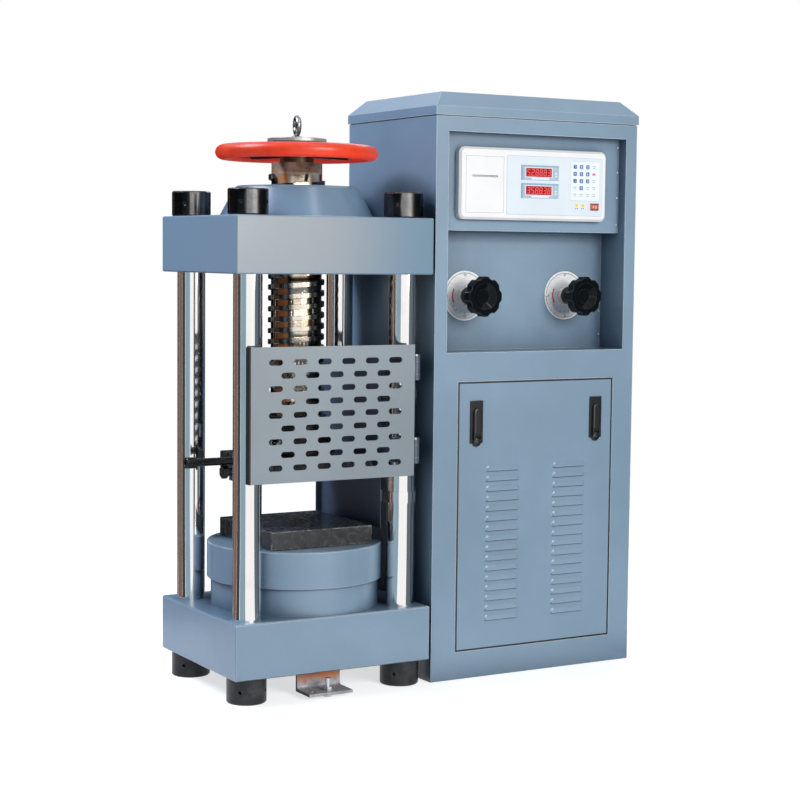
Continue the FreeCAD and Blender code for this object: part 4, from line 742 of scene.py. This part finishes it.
WORN_BY = {
    "machine_paint": ("base_beam", "cylinder", "ram_cap", "cabinet_shell", "cabinet_rear_panel",
                      "cabinet_floor", "cabinet_cap", "recess_liner", "console_panel",
                      "oil_tank", "oil_tank_lid"),
    "guard_paint": ("guard_panel",),
    "hinge_paint": ("guard_hinge_leaves", "guard_clamps"),
    "housing_paint": ("nut_housing",),
    "beam_paint": ("top_beam",),
    "side_plate_paint": ("side_guard_plate",),
    "door_paint": ("door_panel",),
    "polished_bar": ("columns", "side_guard_clips"),
    "nut_steel": ("column_nuts",),
    "black_steel": ("ball_seat", "stay_block", "stay_rod", "stay_bolt", "hanger_screws"),
    "platen_black": ("upper_platen", "lower_platen"),
    "screw_steel": ("lead_screw",),
    "bright_steel": ("platen_ball", "ram", "centre_pin", "guard_hinge_pins", "oil_pipes",
                     "valve_block"),
    "wheel_steel": ("wheel_lock_plate",),
    "hub_steel": ("handwheel_spider",),
    "eye_steel": ("lifting_eye",),
    "zinc": ("bracket_bolt",),
    "bronze": ("screw_nut",),
    "rim_red": ("handwheel_rim",),
    "rubber": ("ram_seal", "guard_edge_trim"),
    "rusty_steel": ("floor_bracket",),
    "white_plastic": ("display_housing", "printer_door"),
    "led_window": ("display_windows",),
    "key_white": ("keypad_keys",),
    "rocker_red": ("rocker_switch",),
    "dial_metal": ("dial_plates",),
    "bakelite": ("feed_valve_knob", "return_valve_knob"),
    "lock_black": ("door_lock_plates", "left_lock_spindle", "right_lock_spindle",
                   "left_lock_handle", "right_lock_handle"),
    "motor_paint": ("drive_motor", "oil_pump"),
    "paper": ("paper_roll",),
}
for finish_name, node_names in WORN_BY.items():
    for node_name in node_names:
        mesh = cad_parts[node_name].data
        if not mesh.materials:
            mesh.materials.append(None)
        for index in range(len(mesh.materials)):
            mesh.materials[index] = finishes[finish_name]


def piece(name, shape, finish, body):
    """A new piece from a bmesh, in metres of the model, that rides on a body."""
    bmesh.ops.recalc_face_normals(shape, faces=shape.faces)
    made = add_shape(name, shape, finishes[finish])
    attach(made, body)
    return made


def polar(x, y, reach, turn):
    """The point at a distance and an angle from another."""
    return x + reach * math.cos(turn), y + reach * math.sin(turn)


# Lead screw with its coarse square thread
THREAD_STEPS = 96
RIDGE_EASE = 0.7
WHEEL_SEAT_RADIUS = 26.0
SPIGOT_RADIUS = 34.0


def turned(shape, centre, outline):
    """Adds a closed body of revolution about the vertical line at a centre."""
    turns = [2 * math.pi * step / THREAD_STEPS for step in range(THREAD_STEPS)]
    rings = []
    for radius, z in outline:
        points = [mm(*polar(centre.x, centre.y, radius, turn), z) for turn in turns]
        rings.append([shape.verts.new(point) for point in points])
    for low, high in zip(rings, rings[1:]):
        for step in range(THREAD_STEPS):
            after = (step + 1) % THREAD_STEPS
            face = shape.faces.new((low[step], low[after], high[after], high[step]))
            face.smooth = True
    shape.faces.new(list(reversed(rings[0])))
    shape.faces.new(rings[-1])


def lead_screw():
    shape = bmesh.new()
    seat_top = span("ball_seat")[1].z
    thread_top = seat_top + THREAD_LENGTH
    wheel_low = span("handwheel_spider")[0].z
    outline = [
        (SPIGOT_RADIUS, axis_low.z),
        (SPIGOT_RADIUS, seat_top),
        (SCREW_ROOT - 1.0, seat_top),
        (SCREW_ROOT, seat_top + 1.0),
        (SCREW_ROOT, wheel_low),
        (WHEEL_SEAT_RADIUS, wheel_low),
        (WHEEL_SEAT_RADIUS, axis_high.z),
    ]
    turned(shape, axis, outline)
    half = RIDGE_WIDTH / 2
    section = [
        (SCREW_ROOT - 1.5, -half - 0.5),
        (SCREW_CREST - RIDGE_EASE, -half),
        (SCREW_CREST, -half + RIDGE_EASE),
        (SCREW_CREST, half - RIDGE_EASE),
        (SCREW_CREST - RIDGE_EASE, half),
        (SCREW_ROOT - 1.5, half + 0.5),
    ]
    first = seat_top + half + 1.0
    steps = int((thread_top - half - first) / SCREW_PITCH * THREAD_STEPS)
    before = None
    for step in range(steps + 1):
        turn = 2 * math.pi * step / THREAD_STEPS
        z = first + SCREW_PITCH * step / THREAD_STEPS
        points = [mm(*polar(axis.x, axis.y, r, turn), z + rise) for r, rise in section]
        loop = [shape.verts.new(point) for point in points]
        if before is None:
            shape.faces.new(list(reversed(loop)))
        else:
            for index in range(len(section)):
                after = (index + 1) % len(section)
                shape.faces.new((before[index], before[after], loop[after], loop[index]))
        before = loop
    shape.faces.new(before)
    made = piece("lead_screw_threaded", shape, "screw_steel", "screw")
    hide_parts("lead_screw")


lead_screw()


# Flat pieces that face the front
CORNER_STEPS = 6
SOFT_EDGE = 0.12


def rounded_outline(left, right, low, high, radius, inset=0.0):
    """Points of a rounded rectangle, as (x, z), always in the same order."""
    own = max(radius - inset, 0.05)
    left, right, low, high = left + inset, right - inset, low + inset, high - inset
    corners = (
        (right - own, low + own, 270),
        (right - own, high - own, 0),
        (left + own, high - own, 90),
        (left + own, low + own, 180),
    )
    points = []
    for x, z, start in corners:
        for step in range(CORNER_STEPS + 1):
            points.append(polar(x, z, own, math.radians(start + 90 * step / CORNER_STEPS)))
    return points


def slab(shape, layers):
    """A closed body through outlines that lie one behind another: (points, y) from the front."""
    rings = [[shape.verts.new(mm(x, y, z)) for x, z in points] for points, y in layers]
    for near, far in zip(rings, rings[1:]):
        for index in range(len(near)):
            after = (index + 1) % len(near)
            shape.faces.new((near[index], near[after], far[after], far[index]))
    shape.faces.new(rings[0])
    shape.faces.new(list(reversed(rings[-1])))


def soft_slab(shape, area, radius, inset, front, shoulder, back):
    """A rounded plate whose front edge slopes back to a shoulder."""
    full = rounded_outline(*area, radius)
    slab(shape, [(rounded_outline(*area, radius, inset), front), (full, shoulder), (full, back)])


def sheet(shape, left, right, low, high, radius, front, back):
    """A thin rounded sheet with a softened front edge."""
    area = (left, right, low, high)
    soft_slab(shape, area, radius, SOFT_EDGE, front, front + SOFT_EDGE, back)


def bar(shape, x, z, wide, tall, front, back):
    corners = [(x, z), (x + wide, z), (x + wide, z + tall), (x, z + tall)]
    slab(shape, [(corners, front), (corners, back)])


def dome(shape, x, z, radius, front, back, count=24):
    """A low round head that faces the front."""
    layers = []
    for share, depth in ((0.45, 0.0), (0.80, 0.25), (1.0, 0.75), (1.0, 1.0)):
        points = [polar(x, z, radius * share, 2 * math.pi * step / count) for step in range(count)]
        layers.append((points, front + (back - front) * depth))
    slab(shape, layers)


STROKES = {
    "0": "abcdef", "1": "bc", "2": "abged", "3": "abgcd", "4": "fgbc",
    "5": "afgcd", "6": "afgedc", "7": "abc", "8": "abcdefg", "9": "abcdfg",
}


def figure(shape, sign, x, z, wide, tall, stroke, front, back, slant=0.0):
    """A digit of raised strokes, from its lower left corner."""
    half = tall / 2
    ends = {
        "a": (0, tall, wide, tall),
        "b": (wide, half, wide, tall),
        "c": (wide, 0, wide, half),
        "d": (0, 0, wide, 0),
        "e": (0, 0, 0, half),
        "f": (0, half, 0, tall),
        "g": (0, half, wide, half),
    }
    edge, gap = stroke / 2, stroke * 0.12
    for name in STROKES[sign]:
        x0, z0, x1, z1 = ends[name]
        run = (x1 - x0) + (z1 - z0)
        along = ((gap, 0), (gap + edge, -edge), (run - gap - edge, -edge), (run - gap, 0),
                 (run - gap - edge, edge), (gap + edge, edge))
        points = []
        for step, off in along:
            px, pz = (x0 + step, z0 + off) if z0 == z1 else (x0 - off, z0 + step)
            points.append((x + px + slant * pz, z + pz))
        slab(shape, [(points, front), (points, back)])


# Display panel
HOUSING_FRONT = span("display_housing")[0].y
OVERLAY = (643.0, 893.0, 996.5, 1121.0)
KEY_SHEET = (809.0, 886.0, 1029.5, 1114.0)
KEY_FRONT = span("keypad_keys")[0].y
KEY_WIDTH, KEY_HEIGHT = 13.0, 11.5
KEY_CENTRES_X = (820.0, 836.9, 853.8, 870.7)
KEY_CENTRES_Z = (1102.5, 1087.2, 1071.9, 1056.6, 1041.3)
PRINT_WIDTH, PRINT_HEIGHT = 9.0, 8.8
MENU_CENTRES_X = (826.0, 842.0)
MENU_CENTRE_Z = 1018.2
MENU_WIDTH, MENU_HEIGHT = 11.0, 8.5
PRINT_FRONT, PRINT_BACK = KEY_FRONT - 0.12, KEY_FRONT + 0.05
KEY_FIGURE = (3.0, 4.8, 1.1)
DIGIT_ROWS = ("789", "456", "123", " 0 ")
PINK_KEY = (1, 3)

# Printed marks, by their lower left corner from the key's centre, width and height.
PINK_MARKS = ((-3.8, -2.4, 3.4, 4.8), (0.4, -2.4, 3.4, 4.8))
LINE_MARKS = ((-4.0, 1.0, 3.4, 1.5), (0.2, 1.0, 3.9, 1.5), (-3.2, -2.8, 6.4, 1.3))
MENU_MARKS = ((-4.2, -6.9, 3.2, 1.5), (0.8, -6.9, 3.2, 1.5))


def marks(shape, places, x, z, front, back):
    for left, low, wide, tall in places:
        bar(shape, x + left, z + low, wide, tall, front, back)


def display_overlay():
    """The printed sheet on the housing: a pale blue field, and a lighter one under the keys."""
    for name, area, finish, line_front, front in (
        ("display_overlay", OVERLAY, "overlay_blue", 0.14, 0.30),
        ("keypad_sheet", KEY_SHEET, "key_white", 0.38, 0.50),
    ):
        left, right, low, high = area
        line = bmesh.new()
        sheet(line, left - 0.9, right + 0.9, low - 0.9, high + 0.9, 4.0, HOUSING_FRONT - line_front,
              HOUSING_FRONT + 0.1)
        piece(name + "_border", line, "overlay_line", "frame")
        field = bmesh.new()
        sheet(field, left, right, low, high, 3.4, HOUSING_FRONT - front, HOUSING_FRONT + 0.05)
        piece(name, field, finish, "frame")


def display_keys():
    caps = bmesh.new()
    centres = [(x, z, KEY_WIDTH, KEY_HEIGHT) for z in KEY_CENTRES_Z for x in KEY_CENTRES_X]
    centres += [(x, MENU_CENTRE_Z, MENU_WIDTH, MENU_HEIGHT) for x in MENU_CENTRES_X]
    for x, z, wide, tall in centres:
        area = (x - wide / 2, x + wide / 2, z - tall / 2, z + tall / 2)
        soft_slab(caps, area, 1.4, 0.35, KEY_FRONT, KEY_FRONT + 0.3, HOUSING_FRONT)
    made = piece("keypad_caps", caps, "key_white", "frame")
    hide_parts("keypad_keys")
    blue, white, lines, pink, yellow = (bmesh.new() for _ in range(5))
    for row, z in enumerate(KEY_CENTRES_Z):
        for column, x in enumerate(KEY_CENTRES_X):
            sign = DIGIT_ROWS[row][column] if row < len(DIGIT_ROWS) and column < 3 else " "
            if sign != " ":
                sheet(blue, x - PRINT_WIDTH / 2, x + PRINT_WIDTH / 2, z - PRINT_HEIGHT / 2,
                      z + PRINT_HEIGHT / 2, 1.2, PRINT_FRONT, PRINT_BACK)
                figure(white, sign, x - 1.5, z - 2.4, *KEY_FIGURE, PRINT_FRONT - 0.06,
                       PRINT_FRONT + 0.02)
            elif (row, column) == PINK_KEY:
                marks(pink, PINK_MARKS, x, z, PRINT_FRONT, PRINT_BACK)
            else:
                marks(lines, LINE_MARKS, x, z, PRINT_FRONT, PRINT_BACK)
    for x in MENU_CENTRES_X:
        sheet(yellow, x - 4.2, x + 4.2, MENU_CENTRE_Z - 2.9, MENU_CENTRE_Z + 3.4, 1.0,
              PRINT_FRONT, PRINT_BACK)
        marks(blue, MENU_MARKS, x, MENU_CENTRE_Z, HOUSING_FRONT - 0.42, HOUSING_FRONT)
    for name, shape, finish in (
        ("key_prints_blue", blue, "print_blue"),
        ("key_digits", white, "print_white"),
        ("key_prints_lines", lines, "print_line"),
        ("key_prints_pink", pink, "print_pink"),
        ("menu_key_prints", yellow, "print_yellow"),
    ):
        piece(name, shape, finish, "frame")


LED_DIGITS = ("358838", "528883")
LED_WIDTH, LED_TALL, LED_STROKE, LED_SLANT = 6.2, 12.6, 1.5, 0.10
LED_PITCH = 10.6


def display_digits():
    shape = bmesh.new()
    dots = bmesh.new()
    front = windows_low.y
    for (left, low), signs in zip(windows, LED_DIGITS):
        start = left + GLASS_LEFT + (GLASS_WIDTH - LED_PITCH * 5 - LED_WIDTH) / 2 - 0.6
        foot = low + GLASS_LOW + (GLASS_HEIGHT - LED_TALL) / 2
        for place, sign in enumerate(signs):
            x = start + LED_PITCH * place
            figure(shape, sign, x, foot, LED_WIDTH, LED_TALL, LED_STROKE, front - 0.15,
                   front + 0.05, LED_SLANT)
            dome(shape, x + LED_WIDTH + 2.0, foot, 0.7, front - 0.15, front + 0.05, 10)
        for z in (low + 9.5, low + 15.5):
            dome(dots, left + WINDOW_WIDTH - 7.5, z, 2.2, front - 0.4, front + 0.1)
        dome(dots, left + WINDOW_WIDTH - 8.5, low + 25.0, 1.2, front - 0.3, front + 0.1)
    piece("display_digits", shape, "led_digit", "frame")
    piece("display_lamps", dots, "print_white", "frame")


def switch_marks():
    """The stroke and ring on the rocker."""
    shape = bmesh.new()
    low, high = span("rocker_switch")
    x, z = (low.x + high.x) / 2, (low.z + high.z) / 2
    bar(shape, x - 4.6, z - 2.6, 1.3, 5.2, low.y - 0.12, low.y + 2.0)
    figure(shape, "0", x + 1.0, z - 2.4, 3.4, 4.8, 1.1, low.y - 0.12, low.y + 2.0)
    piece("switch_marks", shape, "print_white", "rocker")


# Valve dials
DIAL_SCREW_REACH = 46.0
ARC_REACH, ARC_HALF_WIDTH = 32.0, 1.4
TICK_FROM, TICK_TO, TICK_HALF_WIDTH = 35.0, 39.5, 0.7


def dial_details():
    front = dials_low.y
    screws, arcs, ticks = bmesh.new(), bmesh.new(), bmesh.new()
    for x in dial_xs:
        for turn in (90, 180, 270, 0):
            sx, sz = polar(x, dial_z, DIAL_SCREW_REACH, math.radians(turn))
            dome(screws, sx, sz, 3.4, front - 1.6, front + 0.2)
            bar(ticks, sx - 0.4, sz - 2.4, 0.8, 4.8, front - 1.75, front - 0.9)
        arc = []
        for reach, turns in (
            (ARC_REACH - ARC_HALF_WIDTH, range(152, 209, 4)),
            (ARC_REACH + ARC_HALF_WIDTH, range(208, 151, -4)),
        ):
            arc += [polar(x, dial_z, reach, math.radians(turn)) for turn in turns]
        slab(arcs, [(arc, front - 0.12), (arc, front + 0.05)])
        for turn in range(216, 325, 18):
            way = Vector(polar(0, 0, 1, math.radians(turn)))
            side = Vector((-way.y, way.x)) * TICK_HALF_WIDTH
            near, far = way * TICK_FROM, way * TICK_TO
            ends = [near - side, far - side, far + side, near + side]
            points = [(x + end.x, dial_z + end.y) for end in ends]
            slab(ticks, [(points, front - 0.12), (points, front + 0.05)])
    piece("dial_screws", screws, "zinc", "frame")
    piece("dial_arcs", arcs, "print_red", "frame")
    piece("dial_ticks", ticks, "print_line", "frame")


# Small screws at the console's right edge, at its foot and in the recess
EDGE_SCREW_INSET = 4.4
EDGE_SCREW_DROPS = (17.5, 73, 129)
EDGE_SCREW_RISE = 19
FOOT_SCREW_X = 792.8
RECESS_SCREW_X = 949.5
RECESS_SCREW_HEIGHTS = (784.6, 732.5)


def console_screws():
    shape = bmesh.new()
    low, high = span("console_panel")
    heights = [high.z - drop for drop in EDGE_SCREW_DROPS] + [low.z + EDGE_SCREW_RISE]
    for z in heights:
        dome(shape, high.x - EDGE_SCREW_INSET, z, 2.6, low.y - 1.2, low.y + 0.3)
    dome(shape, FOOT_SCREW_X, low.z + 4.0, 2.0, low.y - 1.0, low.y + 0.3)
    for z in RECESS_SCREW_HEIGHTS:
        dome(shape, RECESS_SCREW_X, z, 2.0, high.y - 1.0, high.y + 0.3)
    piece("console_screws", shape, "zinc", "frame")


# Printer slot: the paper's torn edge by left, low, width and height, and a lamp beside it, both
# from the middle of the printer's door
TORN_EDGE = (-31.5, 1075.2, 61.0, 1.4)
LAMP_X, LAMP_Z, LAMP_RADIUS = 31.0, 1075.9, 1.1


def printer_slot():
    low, high = span("printer_door")
    strip, lamp = bmesh.new(), bmesh.new()
    centre = (low.x + high.x) / 2
    marks(strip, [TORN_EDGE], centre, 0, low.y + 0.25, high.y + 0.4)
    dome(lamp, centre + LAMP_X, LAMP_Z, LAMP_RADIUS, low.y - 0.15, low.y + 0.5, 14)
    piece("paper_tear_edge", strip, "paper", "printer_flap")
    piece("printer_lamp", lamp, "rubber", "printer_flap")


# Painted shade round the door, and swing handle locks
DOOR_GAP = 2.0
SHADE_LAP = 1.8


def door_gap_shade():
    """A black strip of painted shade that fills the gap round the door, and laps over the door's
    edge.
    """
    shape = bmesh.new()
    low, high = span("door_panel")
    front = span("cabinet_shell")[0].y
    out = DOOR_GAP - 0.1
    outer = (low.x - out, high.x + out, low.z - out, high.z + out)
    inner = (low.x + SHADE_LAP, high.x - SHADE_LAP, low.z + SHADE_LAP, high.z - SHADE_LAP)
    rings = []
    for area, depth in ((inner, 0), (inner, -0.35), (outer, -0.1), (outer, 2.0)):
        left, right, bottom, top = area
        corners = ((left, bottom), (right, bottom), (right, top), (left, top))
        rings.append([shape.verts.new(mm(x, front + depth, z)) for x, z in corners])
    for near, far in zip(rings, rings[1:] + rings[:1]):
        for index in range(4):
            after = (index + 1) % 4
            shape.faces.new((near[index], near[after], far[after], far[index]))
    # A dark sheet where the recessed door's gap holds only shade.
    piece("door_gap_shade", shape, "rubber", "door")


# Louvers: their left ends from the door's left and right edge, the first one's drop from the
# door's top, the last one's rise from its foot, and how far a mouth stays inside its louver
LOUVER_LEFTS = (69.0, -158.5)
LOUVER_WIDTH = 79.5
LOUVER_COUNT = 16
LOUVER_DROP = 180.0
LOUVER_RISE = 72.1
LOUVER_HEIGHT = 11.0
MOUTH_INSET = 5


def louver_mouths():
    """A dark sheet of painted shade in the slots below the lips of the louvers."""
    shape = bmesh.new()
    low, high = span("door_panel")
    front = span("cabinet_shell")[0].y
    top = high.z - LOUVER_DROP
    pitch = (top - low.z - LOUVER_RISE) / (LOUVER_COUNT - 1)
    for left in (low.x + LOUVER_LEFTS[0], high.x + LOUVER_LEFTS[1]):
        for step in range(LOUVER_COUNT):
            lip = top - pitch * step - LOUVER_HEIGHT
            start = left + MOUTH_INSET
            sheet(shape, start, start + LOUVER_WIDTH, lip - 1.5, lip + 0.1, 0.4, front - 0.5,
                  front - 0.02)
    piece("louver_mouths", shape, "slot_shade", "door")


PLATE_LOW = 508.0
PLATE_HALF = 16.0
BOSS_RADIUS = 10.4
GRIP_HALF = 9.9
GRIP_LOW = 522.0
GRIP_TOP = 584.0
GRIP_CORNER = 9.8

# The grip's rounded front, by how far each layer is drawn in and lies behind the foremost.
GRIP_LAYERS = ((4.2, 0.0), (1.6, 0.7), (0.4, 2.0), (0.0, 3.4))


def lock_parts():
    plates_low, plates_high = span("door_lock_plates")
    plate = bmesh.new()
    centres = (plates_low.x + PLATE_HALF, plates_high.x - PLATE_HALF)
    for x in centres:
        area = (x - PLATE_HALF, x + PLATE_HALF, PLATE_LOW, plates_high.z)
        soft_slab(plate, area, 1.2, 0.8, plates_low.y, plates_low.y + 0.8, plates_high.y)
    made = piece("lock_plates", plate, "lock_black", "door")
    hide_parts("door_lock_plates")
    for side, x in zip(("left", "right"), centres):
        low, high = span(side + "_lock_handle")
        grip = bmesh.new()
        area = (x - GRIP_HALF, x + GRIP_HALF, GRIP_LOW, GRIP_TOP)
        layers = [(rounded_outline(*area, GRIP_CORNER, inset), low.y + depth)
                  for inset, depth in GRIP_LAYERS]
        slab(grip, layers + [(rounded_outline(*area, GRIP_CORNER), high.y)])
        made = piece(side + "_grip", grip, "lock_black", side + "_handle")
        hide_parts(side + "_lock_handle")
        boss = bmesh.new()
        dome(boss, x, PLATE_LOW + 3.4, BOSS_RADIUS, low.y + 0.6, plates_low.y + 0.1, 32)
        dome(boss, x, PLATE_LOW + 2.4, 3.2, low.y + 0.2, low.y + 1.6, 20)
        piece(side + "_lock_boss", boss, "lock_black", side + "_lock")


louver_mouths()
display_overlay()
display_keys()
display_digits()
switch_marks()
dial_details()
console_screws()
printer_slot()
door_gap_shade()
lock_parts()
